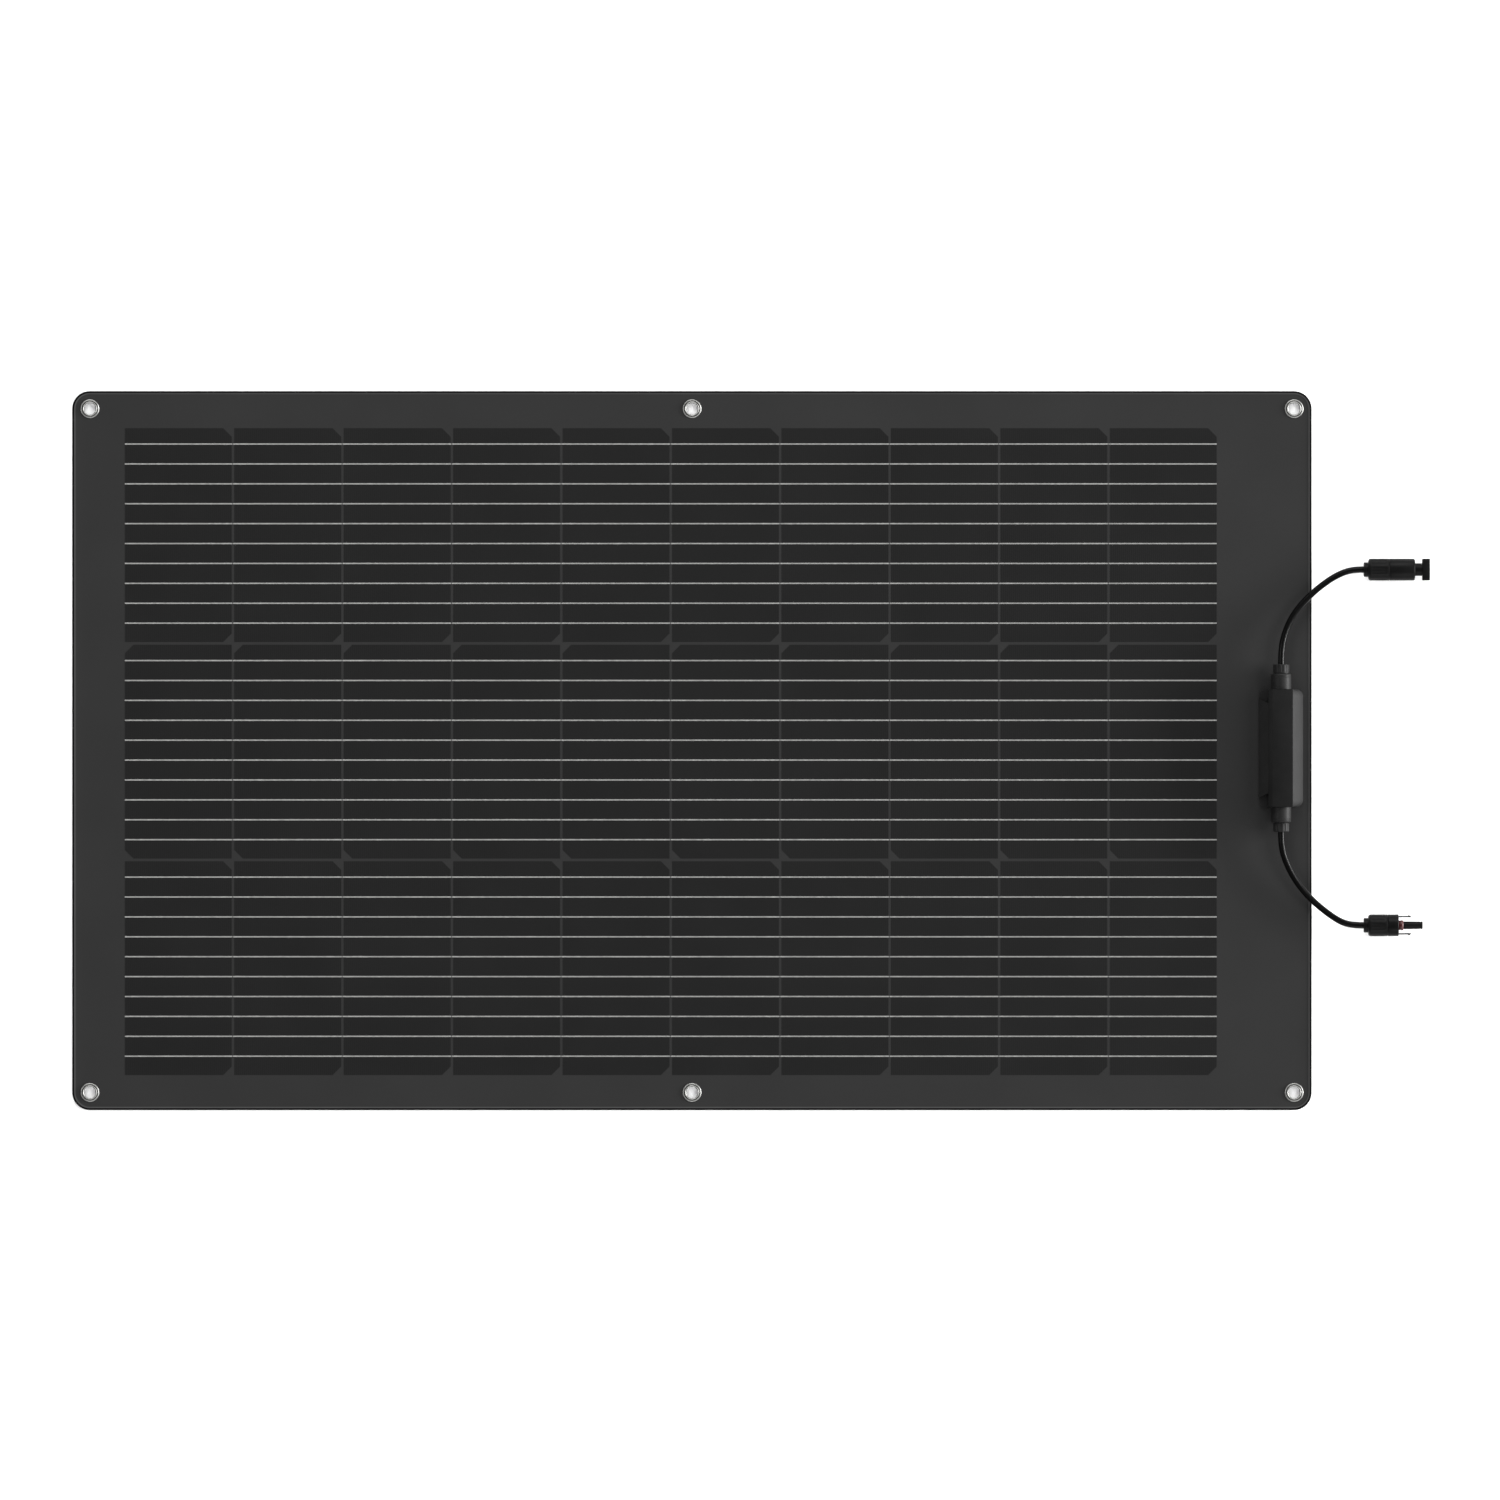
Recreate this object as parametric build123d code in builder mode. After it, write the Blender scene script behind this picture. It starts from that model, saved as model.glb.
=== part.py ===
"""Flexible solar sheet: a laminate of half-cut cells with six eyelets, a slim junction box
and two short leads that end in locking connectors.

Millimetres. The origin is at the middle of the sheet's back face, +X runs along the sheet
towards the junction box, +Y across it, and +Z out of the front.
"""
from build123d import *
from math import pi, radians, tan
import os

# Sheet outline and layers, from the back up
sheet_length = 1055.0
sheet_width = 612.0
sheet_corner_radius = 15.0
back_film_thickness = 0.25
board_thickness = 0.8
rear_fill_thickness = 0.65
cell_thickness = 0.2
front_fill_cover = 0.45
front_film_thickness = 0.15

back_film_top = back_film_thickness
board_top = back_film_top + board_thickness
rear_fill_top = board_top + rear_fill_thickness
cell_top = rear_fill_top + cell_thickness
front_fill_top = cell_top + front_fill_cover
sheet_top = front_fill_top + front_film_thickness

# Eyelets
eyelet_inset = 15.0
eyelet_bore_radius = 5.0
eyelet_wall = 0.5
eyelet_fit = 0.1
eyelet_flange_radius = 8.0
eyelet_flange_rise = 1.1
eyelet_shoulder_rise = 0.6
washer_thickness = 0.35
washer_radius = 8.0
lip_thickness = 0.3
lip_radius = 6.8

eyelet_barrel_radius = eyelet_bore_radius + eyelet_wall
eyelet_hole_radius = eyelet_barrel_radius + eyelet_fit
washer_seat_radius = washer_radius + eyelet_fit
washer_seat_top = lip_thickness + washer_thickness

# Half-cut cells, in rows across the width and columns along the length
cell_columns = 10
cell_rows = 3
left_margin = 44.8
right_margin = 80.85
top_margin = 31.6
bottom_margin = 29.8
column_gap = 2.15
row_gap = 2.3
cell_corner_cut = 7.3

cells_left = -sheet_length / 2 + left_margin
cells_right = sheet_length / 2 - right_margin
cells_top = sheet_width / 2 - top_margin
cells_bottom = -sheet_width / 2 + bottom_margin
cell_length = (cells_right - cells_left - (cell_columns - 1) * column_gap) / cell_columns
cell_width = (cells_top - cells_bottom - (cell_rows - 1) * row_gap) / cell_rows
column_pitch = cell_length + column_gap
row_pitch = cell_width + row_gap
column_centres = [cells_left + cell_length / 2 + i * column_pitch for i in range(cell_columns)]
row_centres = [cells_top - cell_width / 2 - i * row_pitch for i in range(cell_rows)]

# Tinned ribbons that join the cells, and the wide strips at the ends of the rows
ribbon_count = 10
ribbon_edge_margin = 14.77
ribbon_width = 1.1
ribbon_thickness = 0.2
ribbon_shift = 1.3
ribbon_drop = 2.15
ribbon_bend = 0.3
strip_width = 4.8
strip_thickness = 0.2
strip_offset = 2.6
strip_overhang = 2.0
lead_offset = 20.0
return_thickness = 0.15
tab_width = 4.0
tab_thickness = 0.2
tab_height = 6.0
tab_clearance = 0.3

strip_top = rear_fill_top - ribbon_thickness
strip_bottom = strip_top - strip_thickness
ribbon_tail = strip_offset + strip_width
ribbon_span = cell_width - 2 * ribbon_edge_margin
ribbon_pitch = ribbon_span / (ribbon_count - 1)

# Junction box
box_edge_distance = 26.3
box_offset_y = 2.1
box_length = 100.0
box_width = 37.8
box_corner_radius = 6.0
box_height = 20.0
adhesive_thickness = 0.4
adhesive_inset = 1.0
box_floor = 2.0
box_end_wall = 3.0
lid_thickness = 2.0
lid_left = 11.2
lid_bevel_start = 7.9
lid_bevel_drop = 1.5
lid_right = 9.9
lid_right_draft = 0.5
cavity_left = 8.9
cavity_right = 7.6
cavity_low_left = 15.2
cavity_low_right = 15.2
cavity_low_half_length = 33.0
scoop_length = 12.0
scoop_mitre = 6.5
plug_depth = 2.0
plug_wall = 1.2
plug_clearance = 0.2
gasket_width = 1.0
gasket_height = 0.6
gasket_inset = 0.6

box_x = sheet_length / 2 - box_edge_distance
box_y = box_offset_y
box_foot = sheet_top + adhesive_thickness
box_floor_top = box_foot + box_floor
box_top = sheet_top + box_height
lid_foot = box_top - lid_thickness
cavity_half_length = box_length / 2 - box_end_wall

# Glands at both ends of the box
gland_axis_height = 9.5
sleeve_radius = 8.5
sleeve_length = 13.5
sleeve_floor = 2.0
sleeve_bore_radius = 6.5
sleeve_chamfer = 1.2
shank_radius = 5.5
shank_fit = 0.05
gland_seal_length = 5.0
gland_seal_radius = 6.4
slip_washer_thickness = 0.8
slip_washer_gap = 0.2
follower_radius = 6.2
gland_nut_radius = 6.85
gland_nut_length = 7.5
gland_nut_gap = 0.2
gland_nut_chamfer = 0.5
gland_flutes = 12
gland_flute_radius = 0.7

gland_z = sheet_top + gland_axis_height

# Cable
cable_diameter = 5.5
cable_slide_clearance = 0.3
cable_bore_clearance = 0.15
conductor_radius = 1.35
tail_inset = 5.0

cable_radius = cable_diameter / 2
slide_bore_radius = cable_radius + cable_slide_clearance
gland_nut_start = box_length / 2 + sleeve_length + gland_nut_gap
gland_face = gland_nut_start + gland_nut_length
tail_start = cavity_half_length - tail_inset

# Terminals and diode inside the box
terminal_offset = 22.0
terminal_thickness = 0.8
terminal_foot_width = 8.0
terminal_foot_length = 10.0
terminal_lug_height = 4.2
tab_offset = -4.2
crimp_radius = 2.4
crimp_length = 10.0
crimp_start = 2.0
diode_width = 10.0
diode_length = 14.0
diode_height = 4.5
diode_lead_radius = 0.6
diode_offset = 2.2

tab_x = box_x + tab_offset

# Connectors
connector_reach = 44.0
female_offset = 151.9
male_offset = 150.7
connector_radius = 9.3
collar_radius = 6.15
collar_length = 3.8
nut_floor = 5.0
nut_fillet = 2.0
nut_thread_radius = 7.3
spigot_radius = 7.0
spigot_start = 9.0
collet_start = 5.4
collet_end = 8.6
collet_radius = 6.9
seal_bore_radius = 4.8
seal_radius = 4.75
seal_start = 9.4
seal_end = 17.0
contact_start = 19.0
contact_bore_radius = 2.3
contact_radius = 2.2
joint_gap = 0.2
nut_flutes = 24
nut_flute_radius = 0.5
nut_flute_start = 6.5
nut_flute_margin = 2.5
female_body_start = 22.0
female_body_end = 43.5
female_edge_fillet = 1.6
neck_radius = 5.4
end_block_start = 49.8
female_end = 56.1
end_block_height = 13.0
end_block_fillet = 2.0
socket_radius = 3.6
socket_floor = 34.5
pin_radius = 1.5
pin_end = 49.0
latch_slot_width = 2.4
latch_slot_height = 6.0
male_body_start = 20.5
male_body_end = 29.5
male_edge_fillet = 0.6
barrel_radius = 3.3
barrel_end = 50.1
barrel_mouth_radius = 1.75
socket_contact_end = 47.3
socket_contact_bore = 1.6
ring_radius = 4.35
ring_length = 4.1
arm_offset = 7.3
arm_thickness = 1.2
arm_height = 5.0
arm_gap = 0.2
arm_end = 40.8
barb_start = 37.9
barb_peak = 38.3
barb_rise = 0.9

connector_face_x = sheet_length / 2 + connector_reach
female_y = box_y + female_offset
male_y = box_y - male_offset
connector_z = connector_radius

# Control points of the two leads from the gland's face to the connector's face, X and Y from the box's middle
cable_upper_points = [
    (0.0, 71.2, gland_z),
    (0.0, 84.1, gland_z),
    (3.2, 98.9, 11.4),
    (11.0, 115.1, 10.5),
    (24.8, 130.5, 9.6),
    (39.8, 142.5, 9.1),
    (51.3, 148.9, 9.0),
    (61.3, 151.9, connector_z),
    (70.3, 151.9, connector_z),
]
cable_lower_points = [
    (0.0, -71.2, gland_z),
    (0.0, -82.9, gland_z),
    (3.6, -96.1, 11.4),
    (11.1, -111.1, 10.5),
    (22.1, -125.4, 9.6),
    (36.1, -138.0, 9.1),
    (49.8, -147.5, 9.0),
    (60.5, -150.7, connector_z),
    (70.3, -150.7, connector_z),
]
arc_share = 0.45

eyelet_points = [
    (x, y)
    for x in (-sheet_length / 2 + eyelet_inset, 0, sheet_length / 2 - eyelet_inset)
    for y in (-sheet_width / 2 + eyelet_inset, sheet_width / 2 - eyelet_inset)
]


def save(piece, name):
    piece.part.label = name
    export_step(piece.part, f"parts/{name}.step")
    return piece


def gland_plane(side, distance):
    """Plane across a gland's axis, at a distance from the box's middle; side is 1 or -1."""
    origin = (box_x, box_y + side * distance, gland_z)
    return Plane(origin=origin, x_dir=(1, 0, 0), z_dir=(0, side, 0))


def connector_plane(axis_y, distance):
    """Plane across a connector's axis, at a distance from the face where its cable enters."""
    origin = (connector_face_x + distance, axis_y, connector_z)
    return Plane(origin=origin, x_dir=(0, 1, 0), z_dir=(1, 0, 0))


# Laminate


def sheet_layer(bottom, top):
    with BuildPart() as layer:
        with BuildSketch(Plane.XY.offset(bottom)):
            RectangleRounded(sheet_length, sheet_width, sheet_corner_radius)
            with Locations(*eyelet_points):
                Circle(eyelet_hole_radius, mode=Mode.SUBTRACT)
        extrude(amount=top - bottom)
    return layer


def make_back_film():
    with BuildPart() as back_film:
        with BuildSketch():
            RectangleRounded(sheet_length, sheet_width, sheet_corner_radius)
            with Locations(*eyelet_points):
                Circle(washer_seat_radius, mode=Mode.SUBTRACT)
        extrude(amount=back_film_thickness)
    return save(back_film, "back_film")


def make_board():
    layer = sheet_layer(back_film_top, board_top)
    with BuildPart() as fibreglass_board:
        add(layer.part)
        with BuildSketch(Plane.XY.offset(back_film_top)):
            with Locations(*eyelet_points):
                Circle(washer_seat_radius)
        extrude(amount=washer_seat_top - back_film_top, mode=Mode.SUBTRACT)
    return save(fibreglass_board, "fibreglass_board")


def cell_places(rows):
    return [(x, row_centres[row]) for row in rows for x in column_centres]


def cell_outline(cut_side):
    """Corner points of a half cell whose two cut corners are on its +X (1) or -X (-1) side."""
    half_length = cell_length / 2
    half_width = cell_width / 2
    square = [(-half_length, half_width), (-half_length, -half_width)]
    cut = [
        (half_length - cell_corner_cut, -half_width),
        (half_length, -half_width + cell_corner_cut),
        (half_length, half_width - cell_corner_cut),
        (half_length - cell_corner_cut, half_width),
    ]
    return [(cut_side * x, y) for x, y in square + cut]


def make_cells():
    with BuildPart() as solar_cells:
        with BuildSketch(Plane.XY.offset(rear_fill_top)):
            with Locations(*cell_places((0, 2))):
                Polygon(*cell_outline(1))
            with Locations(*cell_places((1,))):
                Polygon(*cell_outline(-1))
        extrude(amount=cell_thickness)
    return save(solar_cells, "solar_cells")


def ribbon_heights(row):
    middle = row_centres[row] + ribbon_shift
    return [middle + ribbon_span / 2 - i * ribbon_pitch for i in range(ribbon_count)]


def ribbon_profile():
    """Side view of one line of ribbon: over the cells, and down at both ends to the strips."""
    top = cell_top + ribbon_thickness
    right_half = [
        (cells_right, cell_top),
        (cells_right + ribbon_drop, strip_top),
        (cells_right + ribbon_tail, strip_top),
        (cells_right + ribbon_tail, rear_fill_top),
        (cells_right + ribbon_drop + ribbon_bend, rear_fill_top),
        (cells_right + ribbon_bend, top),
    ]
    middle = (cells_left + cells_right) / 2
    left_half = [(2 * middle - x, z) for x, z in reversed(right_half)]
    return right_half + left_half


def make_ribbons():
    planes = [Plane.XZ.offset(-y) for row in range(cell_rows) for y in ribbon_heights(row)]
    with BuildPart() as cell_ribbons:
        with BuildSketch(*planes):
            Polygon(*ribbon_profile(), align=None)
        extrude(amount=ribbon_width / 2, both=True)
    return save(cell_ribbons, "cell_ribbons")


def strip_box(x_range, y_range, z_range):
    """Corner-to-corner box, as its centre and size."""
    ranges = (x_range, y_range, z_range)
    centre = tuple((low + high) / 2 for low, high in ranges)
    size = tuple(abs(high - low) for low, high in ranges)
    return centre, size


def strip_columns():
    left = (cells_left - strip_offset - strip_width, cells_left - strip_offset)
    right = (cells_right + strip_offset, cells_right + strip_offset + strip_width)
    return left, right


def row_reach(row):
    """Lowest and highest Y that a collecting strip covers on a row."""
    heights = ribbon_heights(row)
    return heights[-1] - strip_overhang, heights[0] + strip_overhang


def union_of_boxes(boxes, name):
    with BuildPart() as piece:
        for centre, size in boxes:
            with Locations(centre):
                Box(*size)
    return save(piece, name)


def make_strips():
    left, right = strip_columns()
    level = (strip_bottom, strip_top)
    rows = [row_reach(row) for row in range(cell_rows)]
    links = union_of_boxes(
        [
            strip_box(left, (rows[1][0], rows[0][1]), level),
            strip_box(right, (rows[2][0], rows[1][1]), level),
        ],
        "row_link_strips",
    )
    tab_end = tab_x + tab_thickness
    lead_x = (cells_right + lead_offset, cells_right + lead_offset + strip_width)
    positive_y = tab_reach(box_y + terminal_offset)
    positive = union_of_boxes(
        [
            strip_box(right, rows[0], level),
            strip_box((right[0], lead_x[1]), (rows[0][0], rows[0][0] + strip_width), level),
            strip_box(lead_x, (positive_y[0], rows[0][0] + strip_width), level),
            strip_box((lead_x[0], tab_end), positive_y, level),
            strip_box((tab_x, tab_end), positive_y, (strip_bottom, sheet_top + tab_height)),
        ],
        "positive_strip",
    )
    negative_y = tab_reach(box_y - terminal_offset)
    low_level = (board_top, board_top + return_thickness)
    pad_y = (rows[2][1] - strip_width, rows[2][1])
    negative = union_of_boxes(
        [
            strip_box(left, rows[2], level),
            strip_box(left, pad_y, (board_top, strip_bottom)),
            strip_box(left, (pad_y[0], negative_y[1]), low_level),
            strip_box((left[0], tab_end), negative_y, low_level),
            strip_box((tab_x, tab_end), negative_y, (board_top, sheet_top + tab_height)),
        ],
        "negative_strip",
    )
    return links, positive, negative


def tab_reach(middle_y):
    """Lowest and highest Y of a lead strip's end, which stands up into the junction box."""
    return middle_y - tab_width / 2, middle_y + tab_width / 2


def tab_slots():
    """Centres of the slots that let the two upright strips through to the box."""
    return [(tab_x + tab_thickness / 2, box_y + side * terminal_offset) for side in (1, -1)]


def tab_slot_size():
    return tab_thickness + 2 * tab_clearance, tab_width + 2 * tab_clearance


def make_rear_encapsulant(embedded):
    """Dark filling behind and between the cells, moulded round the strips and ribbon ends."""
    layer = sheet_layer(board_top, cell_top)
    with BuildPart() as rear_encapsulant:
        add(layer.part)
        for piece in embedded:
            add(piece.part, mode=Mode.SUBTRACT)
    return save(rear_encapsulant, "rear_encapsulant")


def make_front_encapsulant(ribbons):
    layer = sheet_layer(cell_top, front_fill_top)
    with BuildPart() as front_encapsulant:
        add(layer.part)
        add(ribbons.part, mode=Mode.SUBTRACT)
        with BuildSketch(Plane.XY.offset(cell_top)):
            with Locations(*tab_slots()):
                Rectangle(*tab_slot_size())
        extrude(amount=front_fill_top - cell_top, mode=Mode.SUBTRACT)
    return save(front_encapsulant, "front_encapsulant")


def make_front_film():
    layer = sheet_layer(front_fill_top, sheet_top)
    with BuildPart() as front_film:
        add(layer.part)
        with BuildSketch(Plane.XY.offset(front_fill_top)):
            with Locations(*tab_slots()):
                Rectangle(*tab_slot_size())
        extrude(amount=front_film_thickness, mode=Mode.SUBTRACT)
    return save(front_film, "front_film")


# Eyelets


def make_eyelets():
    shoulder = sheet_top + eyelet_shoulder_rise
    crown = sheet_top + eyelet_flange_rise
    crown_radius = (eyelet_bore_radius + eyelet_flange_radius) / 2
    rim = ((eyelet_bore_radius, shoulder), (crown_radius, crown), (eyelet_flange_radius, sheet_top))
    with BuildPart(mode=Mode.PRIVATE) as eyelet:
        with BuildSketch(Plane.XZ):
            with BuildLine():
                Polyline(
                    (eyelet_flange_radius, sheet_top),
                    (eyelet_barrel_radius, sheet_top),
                    (eyelet_barrel_radius, lip_thickness),
                    (lip_radius, lip_thickness),
                    (lip_radius, 0),
                    (eyelet_bore_radius, 0),
                    (eyelet_bore_radius, shoulder),
                )
                ThreePointArc(*rim)
            make_face()
        revolve(axis=Axis.Z)
    with BuildPart() as eyelets:
        with Locations(*[(x, y, 0) for x, y in eyelet_points]):
            add(eyelet.part)
    return save(eyelets, "eyelets")


def make_washers():
    with BuildPart() as eyelet_washers:
        with BuildSketch(Plane.XY.offset(lip_thickness)):
            with Locations(*eyelet_points):
                Circle(washer_radius)
                Circle(eyelet_hole_radius, mode=Mode.SUBTRACT)
        extrude(amount=washer_thickness)
    return save(eyelet_washers, "eyelet_washers")


# Junction box


def box_profile_plane():
    """Upright plane across the box at its middle, with X along the sheet and Z up."""
    return Plane(origin=(box_x, box_y, 0), x_dir=(1, 0, 0), z_dir=(0, -1, 0))


def make_adhesive():
    pad_width = box_width - 2 * adhesive_inset
    pad_length = box_length - 2 * adhesive_inset
    with BuildPart() as box_adhesive:
        with BuildSketch(Plane.XY.offset(sheet_top)):
            with Locations((box_x, box_y)):
                RectangleRounded(pad_width, pad_length, box_corner_radius - adhesive_inset)
            with Locations(*tab_slots()):
                Rectangle(*tab_slot_size(), mode=Mode.SUBTRACT)
        extrude(amount=adhesive_thickness)
    return save(box_adhesive, "box_adhesive")


def make_box_base():
    half_width = box_width / 2
    outer = [
        (-half_width, box_foot),
        (half_width, box_foot),
        (half_width, box_floor_top),
        (lid_right, lid_foot),
        (-lid_left, lid_foot),
        (-half_width, box_floor_top),
    ]
    low_cavity = [
        (-cavity_low_left, box_floor_top),
        (cavity_low_right, box_floor_top),
        (cavity_right, lid_foot),
        (-cavity_left, lid_foot),
    ]
    cavity_centre = box_x + (cavity_right - cavity_left) / 2
    with BuildPart() as box_base:
        with BuildSketch(box_profile_plane()):
            Polygon(*outer, align=None)
        extrude(amount=box_length / 2, both=True)
        with BuildSketch(Plane.XY.offset(box_foot)):
            with Locations((box_x, box_y)):
                RectangleRounded(box_width, box_length, box_corner_radius)
        extrude(amount=lid_foot - box_foot, mode=Mode.INTERSECT)
        # Scooped feet at both ends of the left slope
        for side in (1, -1):
            end = side * (box_length / 2 + 1)
            scoop = [
                (-half_width - 1, end),
                (-lid_left, end),
                (-lid_left, side * (box_length / 2 - scoop_length)),
                (-half_width - 1, side * (box_length / 2 - scoop_mitre)),
            ]
            with BuildSketch(Plane.XY.offset(box_floor_top)):
                with Locations((box_x, box_y)):
                    Polygon(*scoop, align=None)
            extrude(amount=lid_foot - box_floor_top, mode=Mode.SUBTRACT)
        # Cavity: sloped along the middle and straight up to the ends
        with BuildSketch(box_profile_plane()):
            Polygon(*low_cavity, align=None)
        extrude(amount=cavity_low_half_length, both=True, mode=Mode.SUBTRACT)
        with BuildSketch(Plane.XY.offset(box_floor_top)):
            with Locations((cavity_centre, box_y)):
                Rectangle(cavity_right + cavity_left, 2 * cavity_half_length)
        extrude(amount=lid_foot - box_floor_top, mode=Mode.SUBTRACT)
        # Gasket groove round the rim
        with BuildSketch(Plane.XY.offset(lid_foot - gasket_height)):
            with Locations((cavity_centre, box_y)):
                Rectangle(*gasket_outer_size())
                Rectangle(*gasket_inner_size(), mode=Mode.SUBTRACT)
        extrude(amount=gasket_height, mode=Mode.SUBTRACT)
        with BuildSketch(Plane.XY.offset(box_foot)):
            with Locations(*tab_slots()):
                Rectangle(*tab_slot_size())
        extrude(amount=box_floor, mode=Mode.SUBTRACT)
        for side in (1, -1):
            with BuildSketch(gland_plane(side, cavity_half_length)):
                Circle(shank_radius + shank_fit)
            extrude(amount=box_end_wall, mode=Mode.SUBTRACT)
    return save(box_base, "box_base")


def gasket_inner_size():
    return (
        cavity_right + cavity_left + 2 * gasket_inset,
        2 * cavity_half_length + 2 * gasket_inset,
    )


def gasket_outer_size():
    inner_width, inner_length = gasket_inner_size()
    return inner_width + 2 * gasket_width, inner_length + 2 * gasket_width


def make_gasket():
    cavity_centre = box_x + (cavity_right - cavity_left) / 2
    with BuildPart() as lid_gasket:
        with BuildSketch(Plane.XY.offset(lid_foot - gasket_height)):
            with Locations((cavity_centre, box_y)):
                Rectangle(*gasket_outer_size())
                Rectangle(*gasket_inner_size(), mode=Mode.SUBTRACT)
        extrude(amount=gasket_height)
    return save(lid_gasket, "lid_gasket")


def make_lid():
    profile = [
        (-lid_left, lid_foot),
        (lid_right, lid_foot),
        (lid_right - lid_right_draft, box_top),
        (-lid_bevel_start, box_top),
        (-lid_left, box_top - lid_bevel_drop),
    ]
    plug_width = cavity_right + cavity_left - 2 * plug_clearance
    plug_length = 2 * cavity_half_length - 2 * plug_clearance
    cavity_centre = box_x + (cavity_right - cavity_left) / 2
    with BuildPart() as box_lid:
        with BuildSketch(box_profile_plane()):
            Polygon(*profile, align=None)
        extrude(amount=box_length / 2, both=True)
        with BuildSketch(Plane.XY.offset(lid_foot - plug_depth)):
            with Locations((cavity_centre, box_y)):
                Rectangle(plug_width, plug_length)
                Rectangle(plug_width - 2 * plug_wall, plug_length - 2 * plug_wall, mode=Mode.SUBTRACT)
        extrude(amount=plug_depth)
    return save(box_lid, "box_lid")


def make_terminal(side, name):
    """Stamped terminal: a foot on the box floor, a lug for the strip and a crimped barrel."""
    middle = box_y + side * terminal_offset
    lug_x = tab_x + tab_thickness
    foot_centre = (lug_x + terminal_foot_width / 2, middle, box_floor_top + terminal_thickness / 2)
    lug_centre = (lug_x + terminal_thickness / 2, middle, box_floor_top + terminal_lug_height / 2)
    web_height = gland_z - (crimp_radius + conductor_radius) / 2 - box_floor_top
    barrel_middle = middle + side * (crimp_start + crimp_length / 2)
    web_centre = (box_x, (middle + barrel_middle) / 2, box_floor_top + web_height / 2)
    web_length = abs(barrel_middle - middle) + terminal_foot_length / 2
    barrel_start = side * (barrel_middle - box_y) - crimp_length / 2
    with BuildPart() as terminal:
        with Locations(foot_centre):
            Box(terminal_foot_width, terminal_foot_length, terminal_thickness)
        with Locations(lug_centre):
            Box(terminal_thickness, tab_width, terminal_lug_height)
        with Locations(web_centre):
            Box(terminal_thickness, web_length, web_height)
        with BuildSketch(gland_plane(side, barrel_start)):
            Circle(crimp_radius)
        extrude(amount=crimp_length)
        with BuildSketch(gland_plane(side, barrel_start)):
            Circle(conductor_radius)
        extrude(amount=crimp_length, mode=Mode.SUBTRACT)
    return save(terminal, name)


def make_diode():
    lead_z = box_floor_top + terminal_thickness + diode_lead_radius
    diode_x = box_x + diode_offset
    with BuildPart() as bypass_diode:
        with Locations((diode_x, box_y, box_floor_top + diode_height / 2)):
            Box(diode_width, diode_length, diode_height)
        with BuildSketch(Plane(origin=(diode_x, box_y, lead_z), x_dir=(1, 0, 0), z_dir=(0, -1, 0))):
            Circle(diode_lead_radius)
        extrude(amount=terminal_offset, both=True)
    return save(bypass_diode, "bypass_diode")


# Glands


def make_gland_sleeve(side, name):
    with BuildPart() as sleeve:
        with BuildSketch(gland_plane(side, box_length / 2)):
            Circle(sleeve_radius)
        extrude(amount=sleeve_length)
        outer_end = sleeve.faces().sort_by(Axis.Y)[-1 if side == 1 else 0]
        chamfer(outer_end.edges(), length=sleeve_chamfer)
        with BuildSketch(gland_plane(side, cavity_half_length)):
            Circle(shank_radius)
        extrude(amount=box_end_wall)
        with BuildSketch(gland_plane(side, box_length / 2 + sleeve_floor)):
            Circle(sleeve_bore_radius)
        extrude(amount=sleeve_length - sleeve_floor, mode=Mode.SUBTRACT)
        with BuildSketch(gland_plane(side, cavity_half_length)):
            Circle(cable_radius + cable_bore_clearance)
        extrude(amount=box_end_wall + sleeve_floor, mode=Mode.SUBTRACT)
    return save(sleeve, name)


def make_gland_seal(side, name):
    with BuildPart() as seal:
        with BuildSketch(gland_plane(side, box_length / 2 + sleeve_floor)):
            Circle(gland_seal_radius)
            Circle(cable_radius, mode=Mode.SUBTRACT)
        extrude(amount=gland_seal_length)
    return save(seal, name)


def slip_washer_start():
    return box_length / 2 + sleeve_floor + gland_seal_length + slip_washer_gap


def make_slip_washer(side, name):
    with BuildPart() as washer:
        with BuildSketch(gland_plane(side, slip_washer_start())):
            Circle(follower_radius)
            Circle(slide_bore_radius, mode=Mode.SUBTRACT)
        extrude(amount=slip_washer_thickness)
    return save(washer, name)


def make_gland_nut(side, name):
    follower_start = slip_washer_start() + slip_washer_thickness + slip_washer_gap
    with BuildPart() as nut:
        with BuildSketch(gland_plane(side, gland_nut_start)):
            Circle(gland_nut_radius)
        extrude(amount=gland_nut_length)
        outer_end = nut.faces().sort_by(Axis.Y)[-1 if side == 1 else 0]
        chamfer(outer_end.edges(), length=gland_nut_chamfer)
        with BuildSketch(gland_plane(side, gland_nut_start)):
            with PolarLocations(gland_nut_radius + gland_flute_radius / 2, gland_flutes):
                Circle(gland_flute_radius)
        extrude(amount=gland_nut_length, mode=Mode.SUBTRACT)
        with BuildSketch(gland_plane(side, follower_start)):
            Circle(follower_radius)
        extrude(amount=gland_nut_start - follower_start)
        with BuildSketch(gland_plane(side, follower_start)):
            Circle(slide_bore_radius)
        extrude(amount=gland_face - follower_start, mode=Mode.SUBTRACT)
    return save(nut, name)


def make_box_tails():
    with BuildPart() as box_cable_tails:
        for side in (1, -1):
            with BuildSketch(gland_plane(side, tail_start)):
                Circle(cable_radius)
            extrude(amount=gland_face - tail_start)
    return save(box_cable_tails, "box_cable_tails")


def make_copper_ends():
    copper_start = terminal_offset + crimp_start
    with BuildPart() as copper_ends:
        for side in (1, -1):
            with BuildSketch(gland_plane(side, copper_start)):
                Circle(conductor_radius)
            extrude(amount=tail_start - copper_start)
    return save(copper_ends, "copper_ends")


# Leads


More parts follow.
